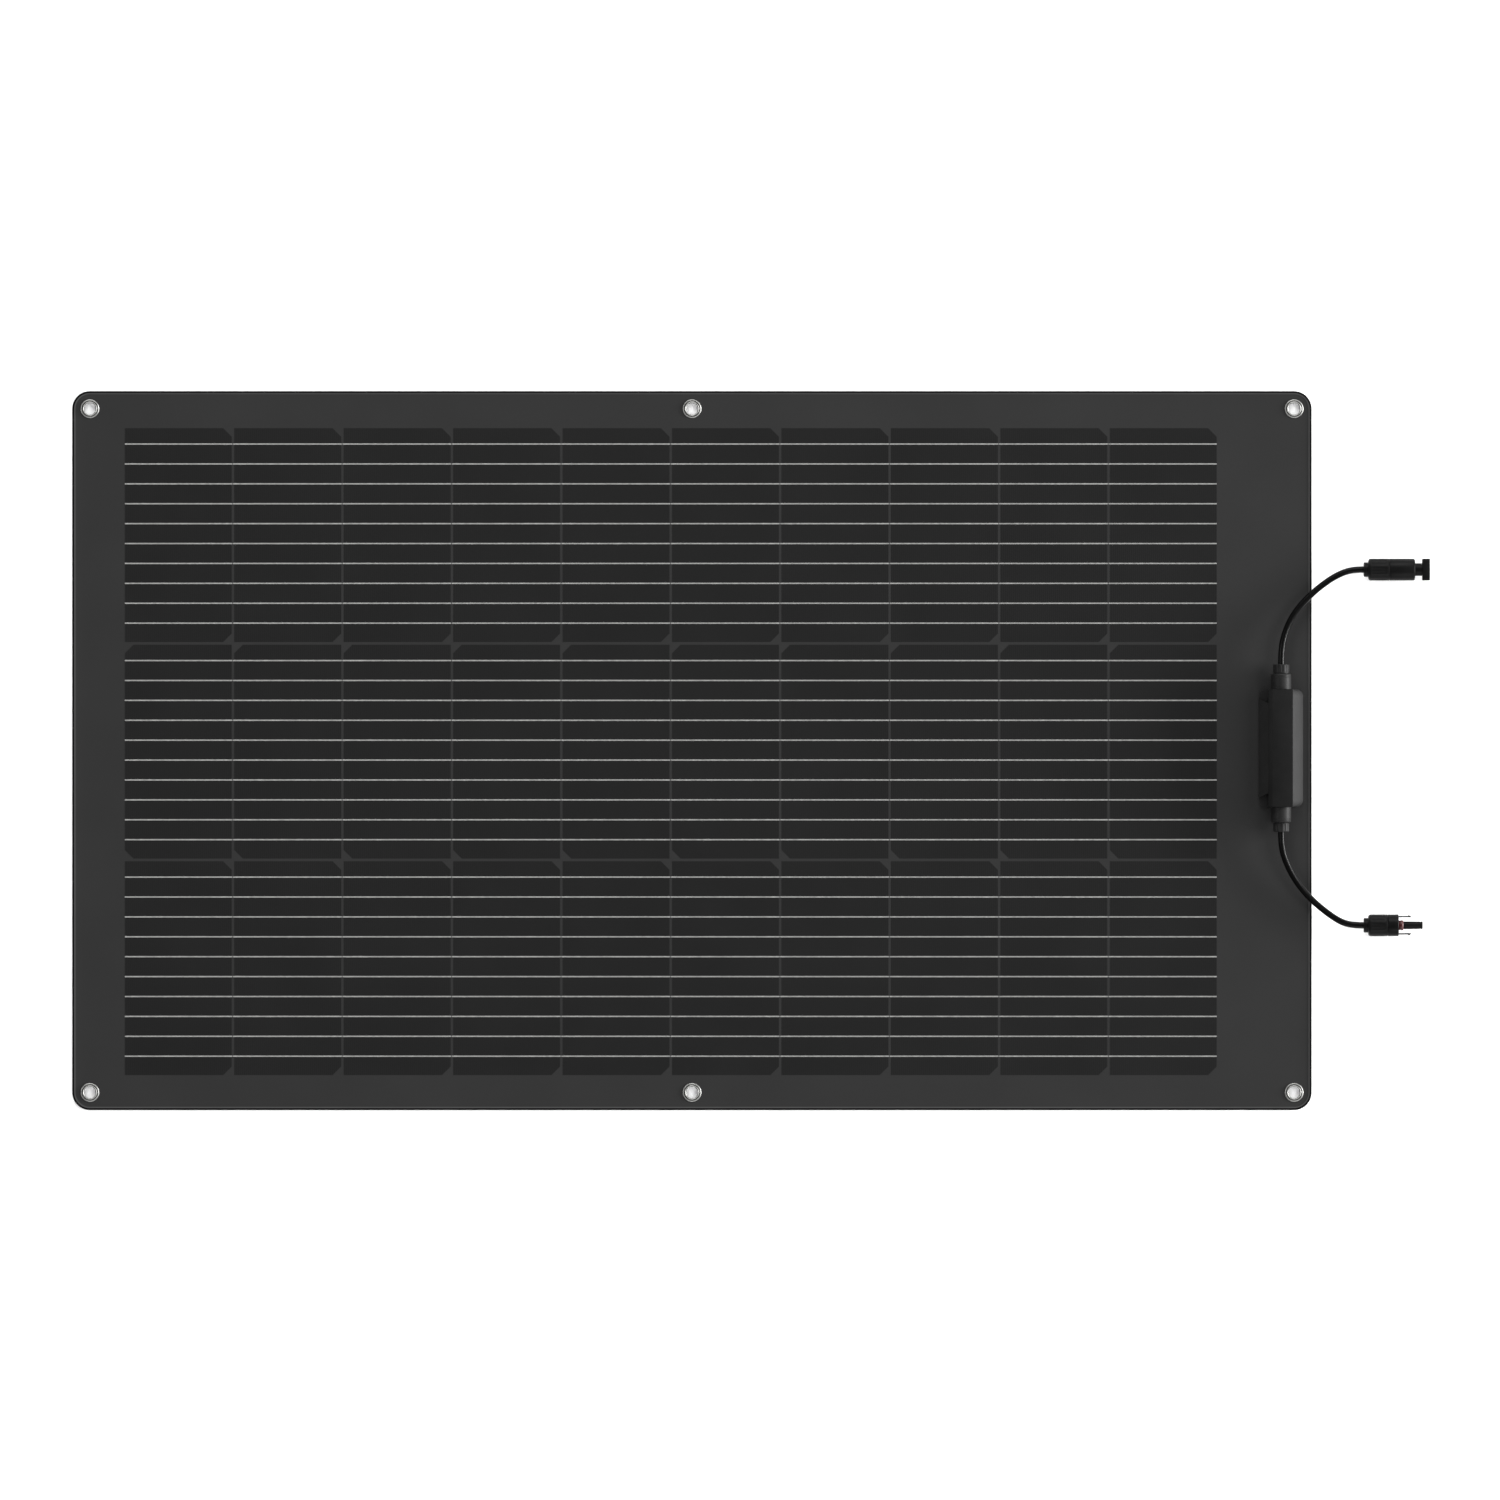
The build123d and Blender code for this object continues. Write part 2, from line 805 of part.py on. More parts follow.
def arc_radii(points):
    """Radius at each inner point: arc_share of the shorter run over the half turn's tangent."""
    vectors = [Vector(*b) - Vector(*a) for a, b in zip(points, points[1:])]
    radii = []
    for before, after in zip(vectors, vectors[1:]):
        half_turn = radians(before.get_angle(after)) / 2
        radii.append(arc_share * min(before.length, after.length) / tan(half_turn))
    return radii


def make_cable(offsets, name):
    points = [(box_x + x, box_y + y, z) for x, y, z in offsets]
    radii = arc_radii(points)
    start_plane = Plane(origin=points[0], z_dir=Vector(*points[1]) - Vector(*points[0]))
    with BuildPart() as cable:
        with BuildLine() as path:
            FilletPolyline(*points, radius=radii)
        with BuildSketch(start_plane):
            Circle(cable_radius)
        sweep(path=path.wires()[0])
    length = path.wires()[0].length
    expected = pi * cable_radius**2 * length
    print(name, "length", round(length, 2), "radii", [round(r, 1) for r in radii])
    print(name, "volume over section times length", round(cable.part.volume / expected, 5))
    return save(cable, name)


# Connectors


def make_connector_nut(axis_y, body_start, name):
    nut_end = body_start - joint_gap
    flute_length = nut_end - nut_flute_margin - nut_flute_start
    with BuildPart() as nut:
        with BuildSketch(connector_plane(axis_y, collar_length)):
            Circle(connector_radius)
        extrude(amount=nut_end - collar_length)
        fillet(nut.faces().sort_by(Axis.X)[0].edges(), radius=nut_fillet)
        with BuildSketch(connector_plane(axis_y, nut_flute_start)):
            with PolarLocations(connector_radius + nut_flute_radius / 4, nut_flutes):
                Circle(nut_flute_radius)
        extrude(amount=flute_length, mode=Mode.SUBTRACT)
        with BuildSketch(connector_plane(axis_y, 0)):
            Circle(collar_radius)
        extrude(amount=collar_length)
        with BuildSketch(connector_plane(axis_y, nut_floor)):
            Circle(nut_thread_radius)
        extrude(amount=nut_end - nut_floor, mode=Mode.SUBTRACT)
        with BuildSketch(connector_plane(axis_y, 0)):
            Circle(slide_bore_radius)
        extrude(amount=nut_floor, mode=Mode.SUBTRACT)
    return save(nut, name)


def make_ring(axis_y, start, end, outer_radius, inner_radius, name):
    with BuildPart() as ring:
        with BuildSketch(connector_plane(axis_y, start)):
            Circle(outer_radius)
            Circle(inner_radius, mode=Mode.SUBTRACT)
        extrude(amount=end - start)
    return save(ring, name)


def make_cable_tail(axis_y, name):
    with BuildPart() as tail:
        with BuildSketch(connector_plane(axis_y, 0)):
            Circle(cable_radius)
        extrude(amount=contact_start - contact_margin())
    return save(tail, name)


def contact_margin():
    return contact_bore_radius - contact_radius


def make_female_housing():
    with BuildPart() as female_housing:
        with BuildSketch(connector_plane(female_y, female_body_start)):
            Circle(connector_radius)
        extrude(amount=female_body_end - female_body_start)
        fillet(female_housing.faces().sort_by(Axis.X)[-1].edges(), radius=female_edge_fillet)
        with BuildSketch(connector_plane(female_y, spigot_start)):
            Circle(spigot_radius)
        extrude(amount=female_body_start - spigot_start)
        with BuildSketch(connector_plane(female_y, female_body_end)):
            Circle(neck_radius)
        extrude(amount=end_block_start - female_body_end)
        with BuildSketch(connector_plane(female_y, end_block_start)):
            RectangleRounded(2 * connector_radius, end_block_height, end_block_fillet)
        extrude(amount=female_end - end_block_start)
        with BuildSketch(connector_plane(female_y, end_block_start)):
            with Locations((arm_offset, 0), (-arm_offset, 0)):
                Rectangle(latch_slot_width, latch_slot_height)
        extrude(amount=female_end - end_block_start, mode=Mode.SUBTRACT)
        with BuildSketch(connector_plane(female_y, socket_floor)):
            Circle(socket_radius)
        extrude(amount=female_end - socket_floor, mode=Mode.SUBTRACT)
        with BuildSketch(connector_plane(female_y, contact_start)):
            Circle(contact_bore_radius)
        extrude(amount=socket_floor - contact_start, mode=Mode.SUBTRACT)
        with BuildSketch(connector_plane(female_y, spigot_start)):
            Circle(seal_bore_radius)
        extrude(amount=contact_start - spigot_start, mode=Mode.SUBTRACT)
    return save(female_housing, "female_housing")


def make_pin_contact():
    with BuildPart() as pin_contact:
        with BuildSketch(connector_plane(female_y, contact_start - contact_margin())):
            Circle(contact_radius)
        extrude(amount=socket_floor - contact_start)
        with BuildSketch(connector_plane(female_y, contact_start)):
            Circle(pin_radius)
        extrude(amount=pin_end - contact_start)
        chamfer(pin_contact.faces().sort_by(Axis.X)[-1].edges(), length=pin_radius / 3)
    return save(pin_contact, "pin_contact")


def make_male_housing():
    with BuildPart() as male_housing:
        with BuildSketch(connector_plane(male_y, male_body_start)):
            Circle(connector_radius)
        extrude(amount=male_body_end - male_body_start)
        fillet(male_housing.faces().sort_by(Axis.X)[-1].edges(), radius=male_edge_fillet)
        with BuildSketch(connector_plane(male_y, spigot_start)):
            Circle(spigot_radius)
        extrude(amount=male_body_start - spigot_start)
        with BuildSketch(connector_plane(male_y, male_body_end)):
            Circle(barrel_radius)
        extrude(amount=barrel_end - male_body_end)
        with BuildSketch(connector_plane(male_y, contact_start)):
            Circle(barrel_mouth_radius)
        extrude(amount=barrel_end - contact_start, mode=Mode.SUBTRACT)
        with BuildSketch(connector_plane(male_y, contact_start)):
            Circle(contact_bore_radius)
        extrude(amount=socket_contact_end + contact_margin() - contact_start, mode=Mode.SUBTRACT)
        with BuildSketch(connector_plane(male_y, spigot_start)):
            Circle(seal_bore_radius)
        extrude(amount=contact_start - spigot_start, mode=Mode.SUBTRACT)
    return save(male_housing, "male_housing")


def make_socket_contact():
    with BuildPart() as socket_contact:
        with BuildSketch(connector_plane(male_y, contact_start - contact_margin())):
            Circle(contact_radius)
        extrude(amount=socket_contact_end - contact_start + contact_margin())
        with BuildSketch(connector_plane(male_y, socket_floor)):
            Circle(socket_contact_bore)
        extrude(amount=socket_contact_end - socket_floor, mode=Mode.SUBTRACT)
    return save(socket_contact, "socket_contact")


def make_latch_arm(side, name):
    """Springy arm with an outward barb; side is 1 for the arm on the +Y side of the plug."""
    root = male_body_end + arm_gap
    half = arm_thickness / 2
    outline = [
        (root + half, -half),
        (arm_end, -half),
        (barb_peak, half + barb_rise),
        (barb_start, half),
        (root + half, half),
    ]
    base = Plane(
        origin=(connector_face_x, male_y + side * arm_offset, connector_z), x_dir=(1, 0, 0), z_dir=(0, 0, 1)
    )
    with BuildPart() as arm:
        with BuildSketch(base):
            Polygon(*[(x, side * y) for x, y in outline], align=None)
            with Locations((root + half, 0)):
                Circle(half)
        extrude(amount=arm_height / 2, both=True)
    return save(arm, name)


def build():
    os.makedirs("parts", exist_ok=True)
    make_back_film()
    make_board()
    cells = make_cells()
    ribbons = make_ribbons()
    strips = make_strips()
    make_rear_encapsulant((cells, ribbons, *strips))
    make_front_encapsulant(ribbons)
    make_front_film()
    make_eyelets()
    make_washers()
    make_adhesive()
    make_box_base()
    make_gasket()
    make_lid()
    make_terminal(1, "terminal_positive")
    make_terminal(-1, "terminal_negative")
    make_diode()
    make_box_tails()
    make_copper_ends()
    for side, end in ((1, "upper"), (-1, "lower")):
        make_gland_sleeve(side, f"gland_sleeve_{end}")
        make_gland_seal(side, f"gland_seal_{end}")
        make_slip_washer(side, f"slip_washer_{end}")
        make_gland_nut(side, f"gland_nut_{end}")
    make_cable(cable_upper_points, "cable_upper")
    make_cable(cable_lower_points, "cable_lower")
    connectors = ((female_y, female_body_start, "female"), (male_y, male_body_start, "male"))
    for axis_y, body_start, kind in connectors:
        make_connector_nut(axis_y, body_start, f"{kind}_nut")
        make_ring(axis_y, collet_start, collet_end, collet_radius, slide_bore_radius, f"{kind}_collet")
        make_ring(axis_y, seal_start, seal_end, seal_radius, cable_radius, f"{kind}_seal")
        make_cable_tail(axis_y, f"{kind}_cable_tail")
    make_female_housing()
    make_pin_contact()
    make_male_housing()
    make_socket_contact()
    make_ring(male_y, male_body_end, male_body_end + ring_length, ring_radius, barrel_radius, "plug_ring")
    make_latch_arm(1, "latch_arm_upper")
    make_latch_arm(-1, "latch_arm_lower")


build()
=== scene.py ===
import math

import bmesh
import bpy
from mathutils import Matrix, Vector


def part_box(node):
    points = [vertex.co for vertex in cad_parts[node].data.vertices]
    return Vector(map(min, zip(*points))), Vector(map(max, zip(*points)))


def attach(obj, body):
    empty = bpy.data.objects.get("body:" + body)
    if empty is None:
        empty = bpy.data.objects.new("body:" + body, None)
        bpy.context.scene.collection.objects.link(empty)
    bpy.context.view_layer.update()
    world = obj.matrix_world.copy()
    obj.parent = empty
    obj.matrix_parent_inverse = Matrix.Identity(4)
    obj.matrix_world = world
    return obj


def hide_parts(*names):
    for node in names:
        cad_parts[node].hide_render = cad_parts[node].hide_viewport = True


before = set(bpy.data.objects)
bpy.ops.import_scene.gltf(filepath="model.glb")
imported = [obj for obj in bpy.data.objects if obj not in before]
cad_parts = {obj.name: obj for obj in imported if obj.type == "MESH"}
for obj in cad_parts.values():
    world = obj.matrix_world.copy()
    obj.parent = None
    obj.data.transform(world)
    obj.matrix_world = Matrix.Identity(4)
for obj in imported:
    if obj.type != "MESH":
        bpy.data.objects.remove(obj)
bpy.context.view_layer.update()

mm = 0.001
along = Vector((1, 0, 0))  # the sheet's length, towards the junction box
across = Vector((0, 1, 0))
up = Vector((0, 0, 1))
hair = 1e-6  # points nearer than this are one point


# Helpers


def linear(hexColour):
    values = [int(hexColour[i:i + 2], 16) / 255 for i in (1, 3, 5)]
    return [v / 12.92 if v <= 0.04045 else ((v + 0.055) / 1.055) ** 2.4 for v in values] + [1]


def addNode(tree, kind, settings=None, links=None):
    node = tree.nodes.new(kind)
    for key, value in (settings or {}).items():
        if key in node.inputs:
            node.inputs[key].default_value = value
        else:
            setattr(node, key, value)
    for key, source in (links or {}).items():
        tree.links.new(source, node.inputs[key])
    return node


def startMaterial(name, shine):
    # shine holds what is the same all over, set on the shader's own sockets
    material = bpy.data.materials.new(name)
    material.use_nodes = True
    tree = material.node_tree
    shader = tree.nodes["Principled BSDF"]
    for key, value in shine.items():
        shader.inputs[key].default_value = value
    return material, tree, shader


def objectPlaces(tree):
    return addNode(tree, "ShaderNodeTexCoord").outputs["Object"]


def grain(tree, places, sizeMm, detail=3.0):
    return addNode(
        tree, "ShaderNodeTexNoise",
        {"Scale": 1 / (sizeMm * mm), "Detail": detail, "Roughness": 0.55}, {"Vector": places},
    ).outputs["Fac"]


def ramp(tree, value, low, high, start=0.3, end=0.7):
    node = addNode(tree, "ShaderNodeValToRGB", {}, {"Fac": value})
    node.color_ramp.elements[0].position = start
    node.color_ramp.elements[0].color = low
    node.color_ramp.elements[1].position = end
    node.color_ramp.elements[1].color = high
    return node.outputs["Color"]


def grey(value):
    return [value, value, value, 1]


def bump(tree, shader, height, distanceMm, strength):
    node = addNode(
        tree, "ShaderNodeBump", {"Distance": distanceMm * mm, "Strength": strength}, {"Height": height}
    )
    tree.links.new(node.outputs["Normal"], shader.inputs["Normal"])


def turned(section, origin, axis, steps):
    # section is (radius, distance) in millimetres, turned round the axis from its origin
    side = axis.orthogonal().normalized()
    bm = bmesh.new()
    verts = [bm.verts.new(origin + axis * d * mm + side * r * mm) for r, d in section]
    edges = [bm.edges.new(pair) for pair in zip(verts, verts[1:] + verts[:1])]
    bmesh.ops.spin(
        bm, geom=verts + edges, cent=origin, axis=axis, angle=2 * math.pi, steps=steps, use_merge=True
    )
    bmesh.ops.remove_doubles(bm, verts=bm.verts, dist=hair)
    bmesh.ops.recalc_face_normals(bm, faces=bm.faces)
    return bm


def flutedDrum(origin, axis, stations, flutes, depth, perFlute, ridge):
    # stations are (distance, radius, share of the flute's depth) round the section, back to the first;
    # ridge is the share of each flute's turn that stays at full radius
    side = axis.orthogonal().normalized()
    other = axis.cross(side)
    bm = bmesh.new()
    count = flutes * perFlute
    rings = []
    for distance, radius, share in stations:
        ring = []
        for i in range(count):
            place = (i % perFlute) / perFlute
            valley = 0.0 if place < ridge else math.sin(math.pi * (place - ridge) / (1 - ridge)) ** 0.5
            r = (radius - depth * share * valley) * mm
            turn = 2 * math.pi * i / count
            spoke = side * r * math.cos(turn) + other * r * math.sin(turn)
            ring.append(bm.verts.new(origin + axis * distance * mm + spoke))
        rings.append(ring)
    for low, high in zip(rings, rings[1:]):
        for i in range(count):
            j = (i + 1) % count
            bm.faces.new((low[i], low[j], high[j], high[i]))
    bmesh.ops.recalc_face_normals(bm, faces=bm.faces)
    bmesh.ops.remove_doubles(bm, verts=bm.verts, dist=hair)
    return bm


threadValues = {"pitch": 1.5, "depth": 0.25, "lead": 0.3, "crest": 0.35, "flank": 0.3, "root": 0.2}


def threadRings(radius, start, end):
    # rings at the thread's pitch, without its slope, as (radius, distance) along a section
    lead, pitch, flank = threadValues["lead"], threadValues["pitch"], threadValues["flank"]
    deep = radius - threadValues["depth"]
    points = []
    for i in range(int((end - start - lead) / pitch)):
        crestStart = start + lead + i * pitch
        crestEnd = crestStart + threadValues["crest"]
        rootEnd = crestEnd + flank + threadValues["root"]
        points += [
            (radius, crestStart), (radius, crestEnd), (deep, crestEnd + flank), (deep, rootEnd),
            (radius, rootEnd + flank),
        ]
    return points


def roundedSlab(bm, low, high, corner, segments):
    # rectangle from low to high at low's height, with rounded corners, as one face
    corners = [(low.x, low.y), (high.x, low.y), (high.x, high.y), (low.x, high.y)]
    face = bm.faces.new([bm.verts.new((x, y, low.z)) for x, y in corners])
    bmesh.ops.bevel(
        bm, geom=list(face.verts), offset=corner, offset_type="OFFSET", segments=segments,
        profile=0.5, affect="VERTICES", material=-1,
    )
    return bm.faces[:][-1]


def raiseFace(bm, face, height):
    made = bmesh.ops.extrude_face_region(bm, geom=[face])["geom"]
    verts = [g for g in made if isinstance(g, bmesh.types.BMVert)]
    bmesh.ops.translate(bm, verts=verts, vec=(0, 0, height))
    return [g for g in made if isinstance(g, bmesh.types.BMFace)][0]


def softenEdges(bm, edges, width, segments=2):
    bmesh.ops.bevel(
        bm, geom=edges, offset=width, offset_type="OFFSET", segments=segments, profile=0.5,
        affect="EDGES", material=-1, clamp_overlap=True,
    )


def sharpEdges(bm, degrees):
    limit = math.radians(degrees)
    return [e for e in bm.edges if len(e.link_faces) == 2 and e.calc_face_angle(0) > limit]


def joinInto(bm, other):
    mesh = bpy.data.meshes.new("joining")
    other.to_mesh(mesh)
    other.free()
    bm.from_mesh(mesh)
    bpy.data.meshes.remove(mesh)


def smoothBelow(mesh, degrees):
    for polygon in mesh.polygons:
        polygon.use_smooth = True
    mesh.set_sharp_from_angle(angle=math.radians(degrees))


def makePiece(name, bm, materials, body, nodes, smoothAngle=35):
    # the first material is the piece's own; faces choose another by their material index
    mesh = bpy.data.meshes.new(name)
    bm.to_mesh(mesh)
    bm.free()
    smoothBelow(mesh, smoothAngle)
    for material in materials:
        mesh.materials.append(material)
    piece = bpy.data.objects.new(name, mesh)
    bpy.context.scene.collection.objects.link(piece)
    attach(piece, body)
    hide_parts(*nodes)
    return piece


def cutAway(piece, cutterBm):
    mesh = bpy.data.meshes.new("cutter")
    cutterBm.to_mesh(mesh)
    cutterBm.free()
    cutter = bpy.data.objects.new("cutter", mesh)
    bpy.context.scene.collection.objects.link(cutter)
    modifier = piece.modifiers.new("cut", "BOOLEAN")
    modifier.operation = "DIFFERENCE"
    modifier.solver = "EXACT"
    modifier.object = cutter
    bpy.context.view_layer.update()
    evaluated = piece.evaluated_get(bpy.context.evaluated_depsgraph_get())
    result = bpy.data.meshes.new_from_object(evaluated)
    piece.modifiers.clear()
    old = piece.data
    name = old.name
    piece.data = result
    bpy.data.meshes.remove(old)
    result.name = name
    bpy.data.objects.remove(cutter)
    bpy.data.meshes.remove(mesh)


# Materials, each named for what it is and how it was made


def filmMaterial():
    # matt fluoropolymer film over dark encapsulant: soft sheen, fine embossed grain
    material, tree, shader = startMaterial(
        "etfe_film_embossed", {"Roughness": 0.6, "IOR": 1.4, "Specular IOR Level": 0.1}
    )
    places = objectPlaces(tree)
    cloud = grain(tree, places, 90, 2.0)
    tree.links.new(ramp(tree, cloud, linear("#202020"), linear("#222222")), shader.inputs["Base Color"])
    bump(tree, shader, grain(tree, places, 0.9, 2.0), 0.02, 0.25)  # coarser than the real 0.2 mm
    return material


def cellMaterial():
    # monocrystalline silicon under the film: near black, fine silver fingers across the ribbons
    material, tree, shader = startMaterial(
        "monocrystalline_silicon", {"Roughness": 0.6, "IOR": 1.4, "Specular IOR Level": 0.08}
    )
    places = objectPlaces(tree)
    fingerPitch = 1.7  # wider apart and broader than real fingers, which are too fine to see
    wavePeriod = math.pi / 10  # of a wave texture at a scale of 1
    wave = addNode(
        tree, "ShaderNodeTexWave",
        {"wave_type": "BANDS", "bands_direction": "X", "wave_profile": "SIN",
         "Scale": wavePeriod / (fingerPitch * mm), "Distortion": 0.0},
        {"Vector": places},
    ).outputs["Fac"]
    lines = ramp(tree, wave, linear("#131313"), linear("#191919"), 0.86, 1.0)
    cloud = ramp(tree, grain(tree, places, 70, 2.0), grey(0.92), grey(1.06))
    mixed = addNode(tree, "ShaderNodeMix", {"data_type": "RGBA", "blend_type": "MULTIPLY"})
    mixed.inputs[0].default_value = 1.0
    tree.links.new(lines, mixed.inputs[6])
    tree.links.new(cloud, mixed.inputs[7])
    tree.links.new(mixed.outputs[2], shader.inputs["Base Color"])
    bump(tree, shader, grain(tree, places, 0.9, 2.0), 0.02, 0.2)
    return material


def ribbonMaterial():
    # tinned copper ribbon: bright satin metal with a slight mottling from the tin dip
    material, tree, shader = startMaterial("tinned_copper_ribbon", {"Metallic": 1.0})
    places = objectPlaces(tree)
    mottle = grain(tree, places, 3.0)
    tree.links.new(ramp(tree, mottle, linear("#b0b0ae"), linear("#b9b9b7")), shader.inputs["Base Color"])
    tree.links.new(ramp(tree, mottle, grey(0.4), grey(0.47)), shader.inputs["Roughness"])
    return material


def nickelMaterial(name, dark, light):
    # nickel-plated brass, pressed and tumbled; a darker copy is painted shade in the bore and the groove
    material, tree, shader = startMaterial(name, {"Metallic": 1.0})
    places = objectPlaces(tree)
    marks = grain(tree, places, 0.8)
    tree.links.new(ramp(tree, marks, linear(dark), linear(light)), shader.inputs["Base Color"])
    tree.links.new(ramp(tree, marks, grey(0.44), grey(0.54)), shader.inputs["Roughness"])
    return material


def mouldedMaterial(name, dark, light, roughLow, roughHigh, grainMm, level):
    # injection-moulded plastic with a fine spark-eroded texture
    material, tree, shader = startMaterial(name, {"IOR": 1.5, "Specular IOR Level": level})
    places = objectPlaces(tree)
    fine = grain(tree, places, grainMm)
    cloud = grain(tree, places, 14)
    tree.links.new(ramp(tree, cloud, linear(dark), linear(light)), shader.inputs["Base Color"])
    tree.links.new(ramp(tree, fine, grey(roughLow), grey(roughHigh)), shader.inputs["Roughness"])
    bump(tree, shader, fine, 0.03, 0.3)
    return material


def plainMaterial(name, dark, light, rough, metallic=0.0, grainMm=1.2):
    material, tree, shader = startMaterial(name, {"Metallic": metallic, "Roughness": rough})
    places = objectPlaces(tree)
    fine = grain(tree, places, grainMm)
    tree.links.new(ramp(tree, fine, linear(dark), linear(light)), shader.inputs["Base Color"])
    bump(tree, shader, fine, 0.02, 0.3)
    return material


def boardMaterial():
    # glass-fibre board with a sawn edge: resin colour with a 1 mm weave
    material, tree, shader = startMaterial("glass_fibre_board", {"Roughness": 0.6})
    places = objectPlaces(tree)
    weave = addNode(
        tree, "ShaderNodeTexChecker",
        {"Scale": 1 / mm, "Color1": linear("#2b2d27"), "Color2": linear("#23241f")}, {"Vector": places},
    ).outputs["Color"]
    tree.links.new(weave, shader.inputs["Base Color"])
    bump(tree, shader, grain(tree, places, 0.6), 0.02, 0.4)
    return material


film = filmMaterial()
silicon = cellMaterial()
ribbonTin = ribbonMaterial()
nickel = nickelMaterial("nickel_plated_brass", "#868684", "#949492")
# painted shade: a darker copy of the nickel for the eyelets' bore walls and grooves
shadedNickel = nickelMaterial("nickel_painted_shade", "#2c2c2b", "#363635")
# painted highlight: a lighter, glossier copy of the film for the rim's inner slope
rimHighlightFilm = mouldedMaterial("etfe_film_painted_highlight", "#2c2c2c", "#303030", 0.34, 0.42, 0.5, 0.3)
# painted shade: a near-black copy of the film for the rim's sides and outer bands
shadedRim = mouldedMaterial("film_rim_painted_shade", "#020202", "#040404", 0.75, 0.85, 0.5, 0.02)
# one plastic in two tones: the lid darker as painted shade for its top, the shell lighter as painted light
# for its lit right slope
shadedLidPlastic = mouldedMaterial("ppo_lid_painted_shade", "#0f0f0f", "#121212", 0.42, 0.52, 0.5, 0.05)
litBoxPlastic = mouldedMaterial("ppo_box_painted_light", "#1b1b1b", "#1f1f1f", 0.4, 0.5, 0.5, 0.06)
glandNylon = mouldedMaterial("nylon_gland_moulded", "#171717", "#1b1b1b", 0.42, 0.52, 0.4, 0.06)
connectorPlastic = mouldedMaterial("ppo_connector_moulded", "#090909", "#0c0c0c", 0.36, 0.48, 0.4, 0.05)
cableJacket = mouldedMaterial("xlpe_cable_jacket", "#040404", "#060606", 0.24, 0.34, 0.6, 0.06)
redSilicone = plainMaterial("red_silicone_rubber", "#34080a", "#420b0e", 0.45)
greySilicone = plainMaterial("grey_silicone_rubber", "#55565a", "#606165", 0.6)
foamTape = plainMaterial("acrylic_foam_tape", "#0c0c0c", "#121212", 0.8)
backSheet = plainMaterial("polyester_back_sheet", "#1b1b1c", "#202021", 0.6, 0.0, 0.7)
tinPlate = plainMaterial("tin_plated_copper", "#b9b9b4", "#cfcfca", 0.35, 1.0)
copper = plainMaterial("drawn_copper", "#b8734f", "#cc8660", 0.3, 1.0)
epoxy = plainMaterial("moulded_epoxy", "#161616", "#1e1e1e", 0.7)
board = boardMaterial()
print("materials made")


# Camera, light and floor

cameraValues = {
    "height": 12.0, "frameWidth": 1.277, "centreX": 0.0494, "centreY": 0.0005, "sensor": 36, "farthest": 50,
}
lightValues = {
    "right": {"place": (5.6, 1.0, 2.8), "size": (3.4, 5.0), "power": 480},
    "low": {"place": (6.4, 0.4, 1.0), "size": (4.0, 1.0), "power": 1150},
    "back": {"place": (-0.3, 4.8, 2.8), "size": (4.5, 2.5), "power": 380},
    "front": {"place": (0.4, -4.8, 3.0), "size": (4.5, 2.5), "power": 230},
    "left": {"place": (-4.0, 0.4, 4.4), "size": (1.6, 3.0), "power": 110},
}
stageValues = {"worldStrength": 0.2, "floorSize": 12, "paper": "#f6f6f6"}


def makeCamera():
    data = bpy.data.cameras.new("camera")
    data.sensor_width = cameraValues["sensor"]
    data.lens = cameraValues["sensor"] * cameraValues["height"] / cameraValues["frameWidth"]
    data.clip_end = cameraValues["farthest"]
    camera = bpy.data.objects.new("camera", data)
    camera.location = (cameraValues["centreX"], cameraValues["centreY"], cameraValues["height"])
    bpy.context.scene.collection.objects.link(camera)
    bpy.context.scene.camera = camera


def makeLight(name, values):
    data = bpy.data.lights.new(name, "AREA")
    data.shape = "RECTANGLE"
    data.size, data.size_y = values["size"]
    data.energy = values["power"]
    light = bpy.data.objects.new(name, data)
    place = Vector(values["place"])
    light.location = place
    light.rotation_euler = (-place).to_track_quat("-Z", "Y").to_euler()
    bpy.context.scene.collection.objects.link(light)


def makeFloor():
    bm = bmesh.new()
    bmesh.ops.create_grid(bm, x_segments=1, y_segments=1, size=stageValues["floorSize"])
    mesh = bpy.data.meshes.new("floor")
    bm.to_mesh(mesh)
    bm.free()
    floor = bpy.data.objects.new("floor", mesh)
    material, _, shader = startMaterial("floor_paper", {"Roughness": 1.0, "Specular IOR Level": 0.0})
    shader.inputs["Base Color"].default_value = linear(stageValues["paper"])
    mesh.materials.append(material)
    bpy.context.scene.collection.objects.link(floor)


def makeSurroundings():
    world = bpy.data.worlds.new("studio")
    bpy.context.scene.world = world
    world.use_nodes = True
    background = world.node_tree.nodes["Background"]
    background.inputs["Color"].default_value = grey(1.0)
    background.inputs["Strength"].default_value = stageValues["worldStrength"]
    for name, values in lightValues.items():
        makeLight(name, values)
    makeFloor()
    bpy.context.scene.view_settings.view_transform = "Standard"


makeCamera()
makeSurroundings()
print("camera and surroundings made")


# Leads

leadValues = {
    "diameter": 5.5,
    "upper": [
        (501.2, 73.3, 12.0), (501.2, 86.2, 12.0), (504.4, 101.0, 11.4), (512.2, 117.2, 10.5),
        (526.0, 132.6, 9.6), (541.0, 144.6, 9.1), (552.5, 151.0, 9.0), (562.5, 154.0, 9.3),
        (571.5, 154.0, 9.3),
    ],
    "lower": [
        (501.2, -69.1, 12.0), (501.2, -80.8, 12.0), (504.8, -94.0, 11.4), (512.3, -109.0, 10.5),
        (523.3, -123.3, 9.6), (537.3, -135.9, 9.1), (551.0, -145.4, 9.0), (561.7, -148.6, 9.3),
        (571.5, -148.6, 9.3),
    ],
    "upperLength": 118.2,
    "lowerLength": 116.4,
    "roundness": 6,
    "smoothness": 12,
}


